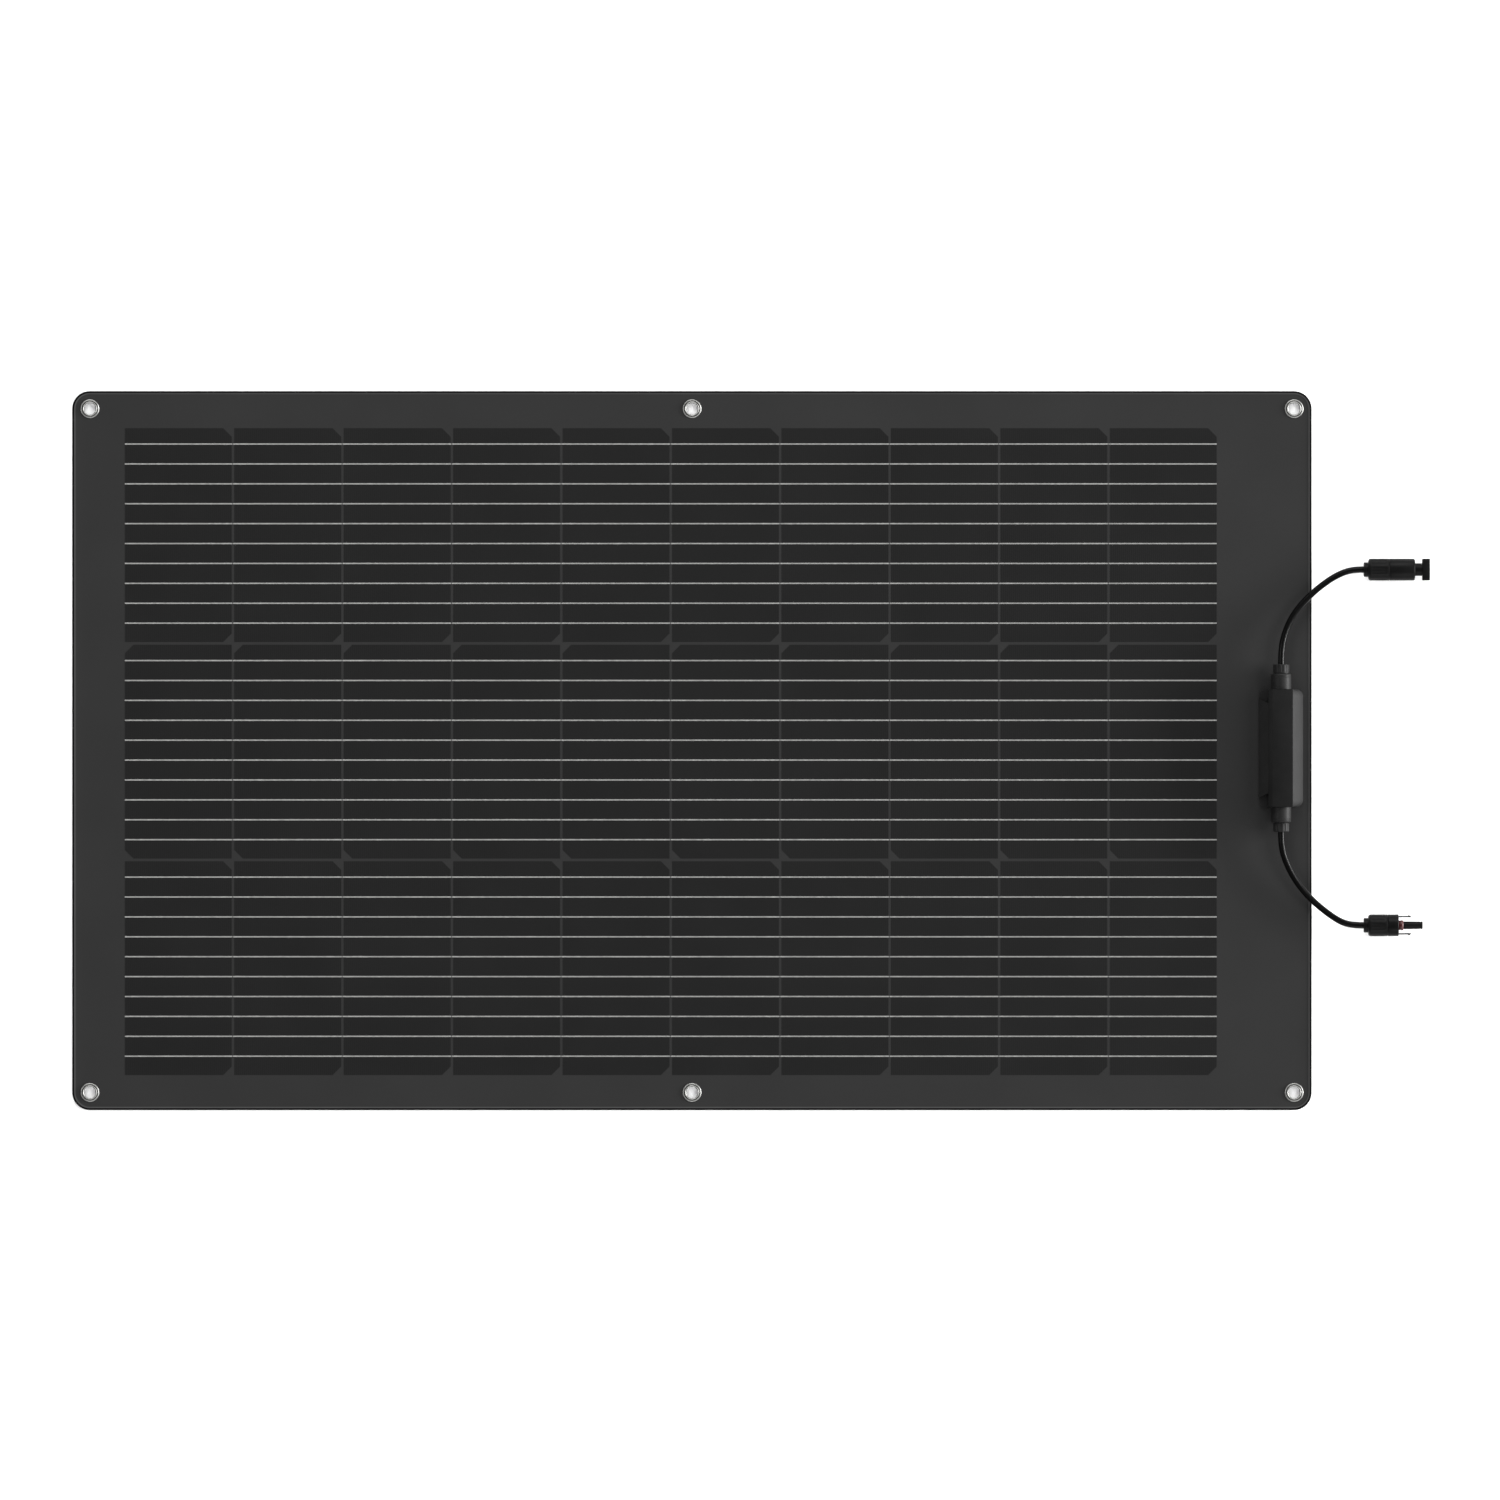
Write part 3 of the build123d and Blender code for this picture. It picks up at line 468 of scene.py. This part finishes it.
def makeLead(name, points, node):
    curve = bpy.data.curves.new(name, "CURVE")
    curve.dimensions = "3D"
    spline = curve.splines.new("NURBS")
    spline.points.add(len(points) - 1)
    for place, point in zip(spline.points, points):
        place.co = [v * mm for v in point] + [1]
    spline.order_u = 3
    spline.use_endpoint_u = True
    spline.resolution_u = leadValues["smoothness"]
    curve.bevel_depth = leadValues["diameter"] / 2 * mm
    curve.bevel_resolution = leadValues["roundness"]
    curve.use_fill_caps = True
    lead = bpy.data.objects.new(name, curve)
    curve.materials.append(cableJacket)
    bpy.context.scene.collection.objects.link(lead)
    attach(lead, "sheet")
    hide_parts(node)
    return lead


leadUpper = makeLead("lead_upper", leadValues["upper"], "cable_upper")
leadLower = makeLead("lead_lower", leadValues["lower"], "cable_lower")
print("leads made")


# Front skin with the cells and ribbons that show through it

filmLow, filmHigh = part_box("front_film")
fillLow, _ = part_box("rear_encapsulant")
skinValues = {
    "corner": 15.0,
    "cornerSegments": 14,
    # width, rise and material index of each band, from the edge inwards; index 1 is painted shade, index 2 a
    # painted highlight
    "rimSteps": [(1.0, 1.2, 1), (0.5, 0.12, 1), (0.3, 0.0, 0), (0.9, -0.36, 2), (0.9, -0.08, 0)],
    "holeSegments": 56,
    "holeRadius": 5.7,
    "flangeRadius": 8.0,
    "baseLift": 0.02,
}


def eyeletPlaces():
    low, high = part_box("eyelets")
    half = skinValues["flangeRadius"] * mm
    xs = (low.x + half, (low.x + high.x) / 2, high.x - half)
    return [(x, y) for x in xs for y in (low.y + half, high.y - half)]


def raiseRim(bm, topFace):
    # bands of the rim: near-black painted shade on the sides and outer slope, the crest, and a lighter inner
    # slope painted as a highlight
    for face in bm.faces:
        face.material_index = 0 if face == topFace else 1
    for width, rise, index in skinValues["rimSteps"]:
        before = set(bm.faces)
        bmesh.ops.inset_region(
            bm, faces=[topFace], thickness=width * mm, depth=0, use_even_offset=True, use_boundary=True
        )
        for face in set(bm.faces) - before:
            face.material_index = index
        bmesh.ops.translate(bm, verts=topFace.verts, vec=(0, 0, rise * mm))


def makeSkin():
    bm = bmesh.new()
    base = Vector((filmLow.x, filmLow.y, fillLow.z + skinValues["baseLift"] * mm))
    rim = sum(rise for _, rise, _ in skinValues["rimSteps"]) * mm
    floorFace = roundedSlab(bm, base, filmHigh, skinValues["corner"] * mm, skinValues["cornerSegments"])
    topFace = raiseFace(bm, floorFace, filmHigh.z - base.z - rim)
    raiseRim(bm, topFace)
    bottomFaces = [f for f in bm.faces if f.calc_center_median().z < base.z + hair]
    outlines = []
    for face in [topFace] + bottomFaces:
        outlines.append((list(face.edges), face.calc_center_median().z))
    bmesh.ops.delete(bm, geom=[topFace] + bottomFaces, context="FACES_ONLY")
    holes = {}
    for edges, z in outlines:
        loops = list(edges)
        for x, y in eyeletPlaces():
            made = bmesh.ops.create_circle(
                bm, segments=skinValues["holeSegments"], radius=skinValues["holeRadius"] * mm,
                matrix=Matrix.Translation((x, y, z)),
            )["verts"]
            circle = list({e for v in made for e in v.link_edges})
            holes.setdefault((x, y), []).append(circle)
            loops += circle
        bmesh.ops.triangle_fill(bm, use_beauty=True, edges=loops)
    for rings in holes.values():
        bmesh.ops.bridge_loops(bm, edges=rings[0] + rings[1])
    bmesh.ops.recalc_face_normals(bm, faces=bm.faces)
    makePiece(
        "front_skin", bm, (film, shadedRim, rimHighlightFilm), "sheet",
        ("front_film", "front_encapsulant", "rear_encapsulant"), smoothAngle=50,
    )


cellValues = {
    "columns": 10, "rows": 3, "columnGap": 2.15, "rowGap": 2.3, "corner": 7.3, "proud": 0.03, "sunk": 0.02,
}


def cellGrid():
    # lowest and highest corner of each cell, and 1 if its cut corners are on the box's side, else -1
    low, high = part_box("solar_cells")
    columns, rows = cellValues["columns"], cellValues["rows"]
    length = (high.x - low.x - (columns - 1) * cellValues["columnGap"] * mm) / columns
    width = (high.y - low.y - (rows - 1) * cellValues["rowGap"] * mm) / rows
    for row in range(rows):
        for column in range(columns):
            x = low.x + column * (length + cellValues["columnGap"] * mm)
            y = low.y + row * (width + cellValues["rowGap"] * mm)
            yield Vector((x, y, 0)), Vector((x + length, y + width, 0)), -1 if row == 1 else 1


def makeWafers():
    bm = bmesh.new()
    bottom = filmHigh.z - cellValues["sunk"] * mm
    for low, high, cutSide in cellGrid():
        edgeX, farX = (high.x, low.x) if cutSide == 1 else (low.x, high.x)
        corners = [(farX, low.y), (edgeX, low.y), (edgeX, high.y), (farX, high.y)]
        verts = [bm.verts.new((x, y, bottom)) for x, y in corners]
        face = bm.faces.new(verts)
        bmesh.ops.bevel(
            bm, geom=verts[1:3], offset=cellValues["corner"] * mm, offset_type="OFFSET", segments=1,
            profile=0.5, affect="VERTICES", material=-1,
        )
    faces = bm.faces[:]
    made = bmesh.ops.extrude_face_region(bm, geom=faces)["geom"]
    verts = [g for g in made if isinstance(g, bmesh.types.BMVert)]
    bmesh.ops.translate(bm, verts=verts, vec=(0, 0, (cellValues["proud"] + cellValues["sunk"]) * mm))
    bmesh.ops.recalc_face_normals(bm, faces=bm.faces)
    makePiece("silicon_wafers", bm, (silicon,), "sheet", ("solar_cells",))


ribbonValues = {
    "count": 10,
    "pitch": 16.94,
    "shift": 1.3,
    "width": 1.1,
    "proud": 0.09,
    "dip": 0.11,
    "dipPlace": 0.35,  # share of the gap between two cells
    "lead": 0.5,
}


def makeRibbons():
    bm = bmesh.new()
    cells = list(cellGrid())
    top = filmHigh.z + ribbonValues["proud"] * mm
    bottom = filmHigh.z - cellValues["sunk"] * mm
    rowMiddles = sorted({round((low.y + high.y) / 2, 7) for low, high, _ in cells})
    left = min(low.x for low, _, _ in cells)
    right = max(high.x for _, high, _ in cells)
    gaps = sorted({round(high.x, 7) for _, high, _ in cells})[:-1]
    gap = cellValues["columnGap"] * mm
    for middle in rowMiddles:
        for i in range(ribbonValues["count"]):
            offset = (ribbonValues["count"] - 1) / 2 - i
            y = middle + (ribbonValues["shift"] + offset * ribbonValues["pitch"]) * mm
            size = Vector((right - left, ribbonValues["width"] * mm, top - bottom))
            place = Matrix.Translation(((left + right) / 2, y, (top + bottom) / 2))
            bmesh.ops.create_cube(bm, size=1, matrix=place @ Matrix.Diagonal((*size, 1)))
    lead, dipAt = ribbonValues["lead"] * mm, gap * ribbonValues["dipPlace"]
    for x in gaps:  # each gap is cut out as a short stretch, whose middle then dips
        for cut in (x - lead, x + dipAt, x + gap + lead):
            bmesh.ops.bisect_plane(
                bm, geom=bm.verts[:] + bm.edges[:] + bm.faces[:], plane_co=(cut, 0, 0), plane_no=along,
                dist=hair / 10,
            )
    dipPlaces = [x + dipAt for x in gaps]
    dipped = [
        v for v in bm.verts
        if v.co.z > bottom + hair and any(abs(v.co.x - place) < 10 * hair for place in dipPlaces)
    ]
    bmesh.ops.translate(bm, verts=dipped, vec=(0, 0, -ribbonValues["dip"] * mm))
    bmesh.ops.recalc_face_normals(bm, faces=bm.faces)
    makePiece("ribbon_lines", bm, (ribbonTin,), "sheet", ("cell_ribbons",), smoothAngle=20)


makeSkin()
makeWafers()
makeRibbons()
print("skin, wafers and ribbons made")


# Eyelets

eyeletValues = {
    "steps": 72,
    "boreEdge": 5.2,  # faces inside this radius get the darker nickel as painted shade, and so do those in the groove
    "groove": (6.1, 6.85),
    # radius and height of the section, from the bore's foot up over both beads and back under
    "section": [
        (5.0, 0.0), (5.0, 2.9), (5.12, 3.3), (5.4, 3.55), (5.75, 3.58), (6.05, 3.4), (6.3, 3.12),
        (6.6, 3.02), (6.95, 3.14), (7.3, 3.22), (7.65, 3.12), (7.9, 2.86), (8.0, 2.52), (5.5, 2.52),
        (5.5, 0.3), (6.8, 0.3), (6.8, 0.0),
    ],
}


def makeEyelets():
    bm = bmesh.new()
    grooveStart, grooveEnd = eyeletValues["groove"]
    for x, y in eyeletPlaces():
        ring = turned(eyeletValues["section"], Vector((x, y, 0)), up, eyeletValues["steps"])
        for face in ring.faces:
            centre = face.calc_center_median()
            radius = math.hypot(centre.x - x, centre.y - y) / mm
            # the bore wall and the groove get the darker nickel as painted shade
            paintedShade = radius < eyeletValues["boreEdge"] or grooveStart < radius < grooveEnd
            face.material_index = 1 if paintedShade else 0
        joinInto(bm, ring)
    makePiece(
        "eyelet_rings", bm, (nickel, shadedNickel), "sheet", ("eyelets",), smoothAngle=60
    )


makeEyelets()
print("eyelets made")


# Junction box

baseLow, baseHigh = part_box("box_base")
lidLow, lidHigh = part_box("box_lid")
boxMiddle = (baseLow + baseHigh) / 2
boxValues = {
    "corner": 6.0,
    "cornerSegments": 8,
    "skirt": 2.0,
    "edge": 0.35,
    "lidEdge": 0.3,
    "lidLeft": 11.2,
    "lidRight": 9.9,
    "lidThickness": 2.0,
    "lidGap": 0.05,
    "bevelStart": 7.9,
    "bevelDrop": 1.5,
    "draft": 0.5,
    "scoopLength": 12.0,
    "scoopMitre": 6.5,
}


def makeScoopCutter(top):
    # the two mitred corners that are cut away on the left
    cutter = bmesh.new()
    clear = 2 * mm
    edgeX = boxMiddle.x - boxValues["lidLeft"] * mm
    outX = baseLow.x - clear
    lowZ = baseLow.z + boxValues["skirt"] * mm
    for side in (1, -1):
        end = boxMiddle.y + side * (baseHigh.y - baseLow.y) / 2
        beyond = end + side * clear
        inner = end - side * boxValues["scoopLength"] * mm
        outer = end - side * boxValues["scoopMitre"] * mm
        corners = [(outX, beyond), (edgeX, beyond), (edgeX, inner), (outX, outer)]
        face = cutter.faces.new([cutter.verts.new((x, y, lowZ)) for x, y in corners])
        raiseFace(cutter, face, top - lowZ + clear / 2)
    bmesh.ops.recalc_face_normals(cutter, faces=cutter.faces)
    return cutter


def makeBoxShell():
    bm = bmesh.new()
    top = lidHigh.z - boxValues["lidThickness"] * mm
    foot = roundedSlab(bm, baseLow, baseHigh, boxValues["corner"] * mm, boxValues["cornerSegments"])
    skirt = raiseFace(bm, foot, boxValues["skirt"] * mm)
    crown = raiseFace(bm, skirt, top - baseLow.z - boxValues["skirt"] * mm)
    scale = (boxValues["lidLeft"] + boxValues["lidRight"]) * mm / (baseHigh.x - baseLow.x)
    shift = (boxValues["lidRight"] - boxValues["lidLeft"]) / 2 * mm
    crownVerts = list(crown.verts)
    bmesh.ops.scale(bm, vec=(scale, 1, 1), verts=crownVerts, space=Matrix.Translation(-boxMiddle))
    bmesh.ops.translate(bm, verts=crownVerts, vec=(shift, 0, 0))
    bmesh.ops.recalc_face_normals(bm, faces=bm.faces)
    softenEdges(bm, sharpEdges(bm, 40), boxValues["edge"] * mm)
    shell = makePiece(
        "box_shell", bm, (litBoxPlastic,), "sheet", ("box_base",), smoothAngle=30
    )
    cutAway(shell, makeScoopCutter(top))


def makeBoxLid():
    bm = bmesh.new()
    left = boxMiddle.x - boxValues["lidLeft"] * mm
    right = boxMiddle.x + boxValues["lidRight"] * mm
    foot = lidHigh.z - (boxValues["lidThickness"] - boxValues["lidGap"]) * mm
    section = [
        (left, foot), (right, foot), (right - boxValues["draft"] * mm, lidHigh.z),
        (boxMiddle.x - boxValues["bevelStart"] * mm, lidHigh.z),
        (left, lidHigh.z - boxValues["bevelDrop"] * mm),
    ]
    face = bm.faces.new([bm.verts.new((x, baseLow.y, z)) for x, z in section])
    made = bmesh.ops.extrude_face_region(bm, geom=[face])["geom"]
    verts = [g for g in made if isinstance(g, bmesh.types.BMVert)]
    bmesh.ops.translate(bm, verts=verts, vec=(0, baseHigh.y - baseLow.y, 0))
    bmesh.ops.recalc_face_normals(bm, faces=bm.faces)
    softenEdges(bm, bm.edges[:], boxValues["lidEdge"] * mm)
    makePiece("box_cover", bm, (shadedLidPlastic,), "sheet", ("box_lid",), smoothAngle=30)


makeBoxShell()
makeBoxLid()
print("junction box made")


# Glands

glandValues = {
    "axisHeight": 9.5,
    "steps": 72,
    "sleeveRadius": 8.5,
    "sleeveLength": 13.5,
    "sleeveBore": 6.5,
    "sleeveFloor": 2.0,
    "sleeveEdge": 0.3,
    "cableHole": 3.0,
    "ringPlace": 3.6,  # of the first fine ring, back from the mouth
    "ringPitch": 1.1,
    "ringDepth": 0.12,
    "nutGap": 0.2,
    "nutRadius": 6.85,
    "nutLength": 7.5,
    "barrelStart": 8.2,
    "barrelRadius": 6.2,
    "bore": 3.05,
    "mouth": 0.9,
    "flutes": 12,
    "fluteDepth": 0.35,
    "perFlute": 10,
    "ridge": 0.45,
}


def sleeveSection(start, outer):
    radius, edge = glandValues["sleeveRadius"], glandValues["sleeveEdge"]
    bore, floor = glandValues["sleeveBore"], start + glandValues["sleeveFloor"]
    hole = glandValues["cableHole"]
    deep = radius - glandValues["ringDepth"]
    section = [(hole, start), (radius - edge, start), (radius, start + edge)]
    for i in range(2):  # two fine moulded rings near the mouth
        place = outer - glandValues["ringPlace"] + i * glandValues["ringPitch"]
        section += [(radius, place), (deep, place + 0.15), (deep, place + 0.35), (radius, place + 0.5)]
    shoulder = [(radius, outer - 1.3), (radius - 0.25, outer - 0.7), (radius - 1.3, outer)]
    return section + shoulder + [(bore, outer), (bore, floor), (hole, floor)]


def glandNutStations(start, end, barrelStart):
    # up the threaded barrel, over the fluted head and back down the bore
    radius, bore, barrel = glandValues["nutRadius"], glandValues["bore"], glandValues["barrelRadius"]
    mouth = glandValues["mouth"]
    threads = [(place, size, 0) for size, place in threadRings(barrel, barrelStart, start)]
    return [(barrelStart, bore, 0), (barrelStart, barrel - 0.2, 0)] + threads + [
        (start, barrel, 0), (start, radius - 0.3, 0), (start + 0.3, radius, 0), (start + 0.7, radius, 0),
        (start + 1.1, radius, 1), (end - 1.2, radius, 1), (end - 0.7, radius, 0.3),
        (end - 0.25, radius - 0.2, 0), (end, radius - 0.5, 0), (end, bore + mouth, 0), (end - mouth, bore, 0),
        (barrelStart, bore, 0),
    ]


def makeGland(side, end):
    axis = across * side
    origin = Vector((boxMiddle.x, boxMiddle.y, filmHigh.z + glandValues["axisHeight"] * mm))
    start = (baseHigh.y - baseLow.y) / 2 / mm
    outer = start + glandValues["sleeveLength"]
    sleeve = turned(sleeveSection(start, outer), origin, axis, glandValues["steps"])
    sleeveNode, nutNode = f"gland_sleeve_{end}", f"gland_nut_{end}"
    makePiece(f"gland_sleeve_turned_{end}", sleeve, (glandNylon,), "sheet", (sleeveNode,))
    nutStart = outer + glandValues["nutGap"]
    nutEnd = nutStart + glandValues["nutLength"]
    stations = glandNutStations(nutStart, nutEnd, start + glandValues["barrelStart"])
    nut = flutedDrum(
        origin, axis, stations, glandValues["flutes"], glandValues["fluteDepth"], glandValues["perFlute"],
        glandValues["ridge"],
    )
    makePiece(f"gland_nut_fluted_{end}", nut, (glandNylon,), nutNode, (nutNode,))


makeGland(1, "upper")
makeGland(-1, "lower")
print("glands made")


# Connectors

connectorValues = {
    "steps": 80,
    "radius": 9.3,
    "bore": 3.05,
    "collarRadius": 6.15,
    "collarEnd": 3.8,
    # how far the nut's rounded shoulder lies past the collar and in from the full radius
    "shoulder": [(0, 1.9), (0.15, 1.3), (0.6, 0.62), (1.2, 0.2), (1.9, 0)],
    "nutFloor": 5.0,
    "nutThreadRadius": 7.3,
    "seam": 0.2,
    "ribs": 16,
    "ribDepth": 0.3,
    "perRib": 8,
    "ridge": 0.5,
    "spigotStart": 9.0,
    "spigotRadius": 7.0,
    "sealBore": 4.8,
    "contactStart": 19.0,
    "contactBore": 2.3,
    "armOffset": 7.3,
}
femaleValues = {
    "bodyStart": 22.0,
    "neckStart": 43.5,
    "neckRadius": 5.4,
    "socketRadius": 3.6,
    "socketFloor": 34.5,
    "blockStart": 49.8,
    "blockLength": 6.3,
    "blockHeight": 13.0,
    "blockCorner": 2.0,
    "blockEdge": 0.5,
    "socketCut": (40.0, 58.0),
    "slotPlace": 53.0,
    "slotSize": (8.0, 2.4, 6.0),
    "cutSteps": 64,
}
maleValues = {
    "bodyStart": 20.5,
    "bodyEnd": 29.5,
    "barrelRadius": 3.3,
    "barrelEnd": 50.1,
    "mouthRadius": 1.75,
    "mouthDepth": 2.6,
    "armHeight": 5.0,
    "armEdge": 0.12,
    # the seal's section, as radius and distance
    "seal": [
        (3.32, 29.55), (3.75, 29.55), (4.05, 29.8), (4.05, 31.6), (4.25, 32.0), (4.35, 32.5), (4.25, 33.0),
        (3.9, 33.5), (3.32, 33.6),
    ],
    # outline of an arm seen from above, root first, with the barb on the outside
    "arm": [
        (29.6, -0.5), (30.0, -0.6), (39.2, -0.6), (40.8, -0.5), (40.7, -0.25), (38.35, 1.45), (38.0, 1.4),
        (37.9, 0.6), (30.0, 0.6), (29.6, 0.5),
    ],
}


def connectorOrigin(kind):
    low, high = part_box(f"{kind}_nut")
    return Vector((low.x, (low.y + high.y) / 2, (low.z + high.z) / 2))


def makeConnectorNut(kind, end):
    radius, bore = connectorValues["radius"], connectorValues["bore"]
    collar, collarEnd = connectorValues["collarRadius"], connectorValues["collarEnd"]
    floor, thread = connectorValues["nutFloor"], connectorValues["nutThreadRadius"]
    shoulder = [(collarEnd + ahead, radius - inset, 0) for ahead, inset in connectorValues["shoulder"]]
    stations = [
        (0, bore, 0), (0, collar - 0.4, 0), (0.15, collar - 0.12, 0), (0.4, collar, 0),
        (collarEnd, collar, 0),
    ] + shoulder + [
        (collarEnd + 2.4, radius, 0.3), (collarEnd + 3.0, radius, 1), (end - 3.4, radius, 1),
        (end - 2.7, radius, 0.3), (end - 2.3, radius, 0), (end - 0.3, radius, 0),
        (end - 0.1, radius - 0.1, 0), (end, radius - 0.3, 0), (end, thread, 0), (floor, thread, 0),
        (floor, bore, 0), (0, bore, 0),
    ]
    nut = flutedDrum(
        connectorOrigin(kind), along, stations, connectorValues["ribs"], connectorValues["ribDepth"],
        connectorValues["perRib"], connectorValues["ridge"],
    )
    nutNode = f"{kind}_nut"
    makePiece(f"{kind}_nut_ribbed", nut, (connectorPlastic,), nutNode, (nutNode,))


def spigotSection(bodyStart):
    # from the seal's bore over the threaded spigot to the body's full radius
    radius, start = connectorValues["radius"], connectorValues["spigotStart"]
    spigot = connectorValues["spigotRadius"]
    section = [(connectorValues["sealBore"], start), (spigot - 0.2, start)]
    section += threadRings(spigot, start, bodyStart)
    return section + [
        (spigot, bodyStart), (radius - 0.3, bodyStart), (radius - 0.1, bodyStart + 0.1),
        (radius, bodyStart + 0.3),
    ]


def boreSection():
    start = connectorValues["contactStart"]
    return [(connectorValues["contactBore"], start), (connectorValues["sealBore"], start)]


def makeSocketBlock(origin):
    length, width = femaleValues["blockLength"], 2 * connectorValues["radius"]
    size = Vector((length, width, femaleValues["blockHeight"])) * mm
    middle = femaleValues["blockStart"] + length / 2
    block = bmesh.new()
    place = Matrix.Translation(origin + along * middle * mm)
    bmesh.ops.create_cube(block, size=1, matrix=place @ Matrix.Diagonal((*size, 1)))
    lengthways = [
        e for e in block.edges if abs((e.verts[0].co - e.verts[1].co).normalized().dot(along)) > 0.5
    ]
    softenEdges(block, lengthways, femaleValues["blockCorner"] * mm, segments=6)
    softenEdges(block, sharpEdges(block, 60), femaleValues["blockEdge"] * mm, segments=3)
    return block


def makeSocketCutter(origin):
    # slots for the latch arms, and the socket
    cutter = bmesh.new()
    size = Vector(femaleValues["slotSize"]) * mm
    for side in (1, -1):
        offset = along * femaleValues["slotPlace"] + across * side * connectorValues["armOffset"]
        place = Matrix.Translation(origin + offset * mm)
        bmesh.ops.create_cube(cutter, size=1, matrix=place @ Matrix.Diagonal((*size, 1)))
    socket, (start, end) = femaleValues["socketRadius"], femaleValues["socketCut"]
    section = [(0, start), (socket, start), (socket, end), (0, end)]
    joinInto(cutter, turned(section, origin, along, femaleValues["cutSteps"]))
    return cutter


def makeFemaleHousing():
    # the block is cut alone, and the turned body is added to it
    origin = connectorOrigin("female")
    piece = makePiece(
        "female_housing_moulded", makeSocketBlock(origin), (connectorPlastic,), "sheet", ("female_housing",),
        smoothAngle=30,
    )
    cutAway(piece, makeSocketCutter(origin))
    radius, bodyEnd, neck = connectorValues["radius"], femaleValues["neckStart"], femaleValues["neckRadius"]
    socket, floor = femaleValues["socketRadius"], femaleValues["socketFloor"]
    neckEnd = femaleValues["blockStart"] + 0.1
    section = spigotSection(femaleValues["bodyStart"]) + [
        (radius, bodyEnd - 1.6), (radius - 0.25, bodyEnd - 0.7), (radius - 0.9, bodyEnd - 0.1),
        (radius - 1.6, bodyEnd), (neck, bodyEnd), (neck, neckEnd), (socket, neckEnd), (socket, floor),
        (connectorValues["contactBore"], floor),
    ] + boreSection()
    body = turned(section, origin, along, connectorValues["steps"])
    body.from_mesh(piece.data)
    body.to_mesh(piece.data)
    body.free()
    smoothBelow(piece.data, 30)


def makeMaleHousing():
    origin = connectorOrigin("male")
    radius, bodyEnd = connectorValues["radius"], maleValues["bodyEnd"]
    barrel, end = maleValues["barrelRadius"], maleValues["barrelEnd"]
    mouth, contact = maleValues["mouthRadius"], connectorValues["contactBore"]
    groove = barrel - 0.25
    section = spigotSection(maleValues["bodyStart"]) + [
        (radius, bodyEnd - 0.4), (radius - 0.3, bodyEnd), (barrel, bodyEnd), (barrel, end - 2.5),
        (groove, end - 2.3), (groove, end - 1.8), (barrel, end - 1.6), (barrel, end - 0.4),
        (barrel - 0.35, end), (mouth, end), (mouth, end - maleValues["mouthDepth"]),
        (contact, end - maleValues["mouthDepth"]),
    ] + boreSection()
    body = turned(section, origin, along, connectorValues["steps"])
    makePiece(
        "male_housing_moulded", body, (connectorPlastic,), "sheet", ("male_housing",),
        smoothAngle=30,
    )
    seal = turned(maleValues["seal"], origin, along, connectorValues["steps"])
    makePiece("plug_seal", seal, (redSilicone,), "sheet", ("plug_ring",), smoothAngle=60)


def makeLatchArm(side, end):
    height = maleValues["armHeight"]
    root = connectorOrigin("male") + across * side * connectorValues["armOffset"] * mm
    bm = bmesh.new()
    outline = [root + Vector((x, side * y, -height / 2)) * mm for x, y in maleValues["arm"]]
    face = bm.faces.new([bm.verts.new(place) for place in outline])
    raiseFace(bm, face, height * mm)
    bmesh.ops.recalc_face_normals(bm, faces=bm.faces)
    softenEdges(bm, sharpEdges(bm, 60), maleValues["armEdge"] * mm)
    node = f"latch_arm_{end}"
    makePiece(
        f"latch_blade_{end}", bm, (connectorPlastic,), node, (node,), smoothAngle=30
    )


makeConnectorNut("female", femaleValues["bodyStart"] - connectorValues["seam"])
makeConnectorNut("male", maleValues["bodyStart"] - connectorValues["seam"])
makeFemaleHousing()
makeMaleHousing()
makeLatchArm(1, "upper")
makeLatchArm(-1, "lower")
print("connectors made")


# Nodes that keep their shape get a finish of their own

finishes = {
    "back_film": backSheet, "fibreglass_board": board,
    "row_link_strips": tinPlate, "positive_strip": tinPlate, "negative_strip": tinPlate,
    "eyelet_washers": nickel, "box_adhesive": foamTape, "lid_gasket": greySilicone,
    "terminal_positive": tinPlate, "terminal_negative": tinPlate, "bypass_diode": epoxy,
    "copper_ends": copper, "box_cable_tails": cableJacket,
    "gland_seal_upper": greySilicone, "gland_seal_lower": greySilicone,
    "slip_washer_upper": glandNylon, "slip_washer_lower": glandNylon,
    "female_collet": connectorPlastic, "female_seal": greySilicone, "pin_contact": tinPlate,
    "female_cable_tail": cableJacket, "male_collet": connectorPlastic, "male_seal": greySilicone,
    "socket_contact": tinPlate, "male_cable_tail": cableJacket,
}


def finishNodes():
    for name, material in finishes.items():
        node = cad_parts[name]
        node.data.materials.clear()
        node.data.materials.append(material)


finishNodes()
print("finishes set")
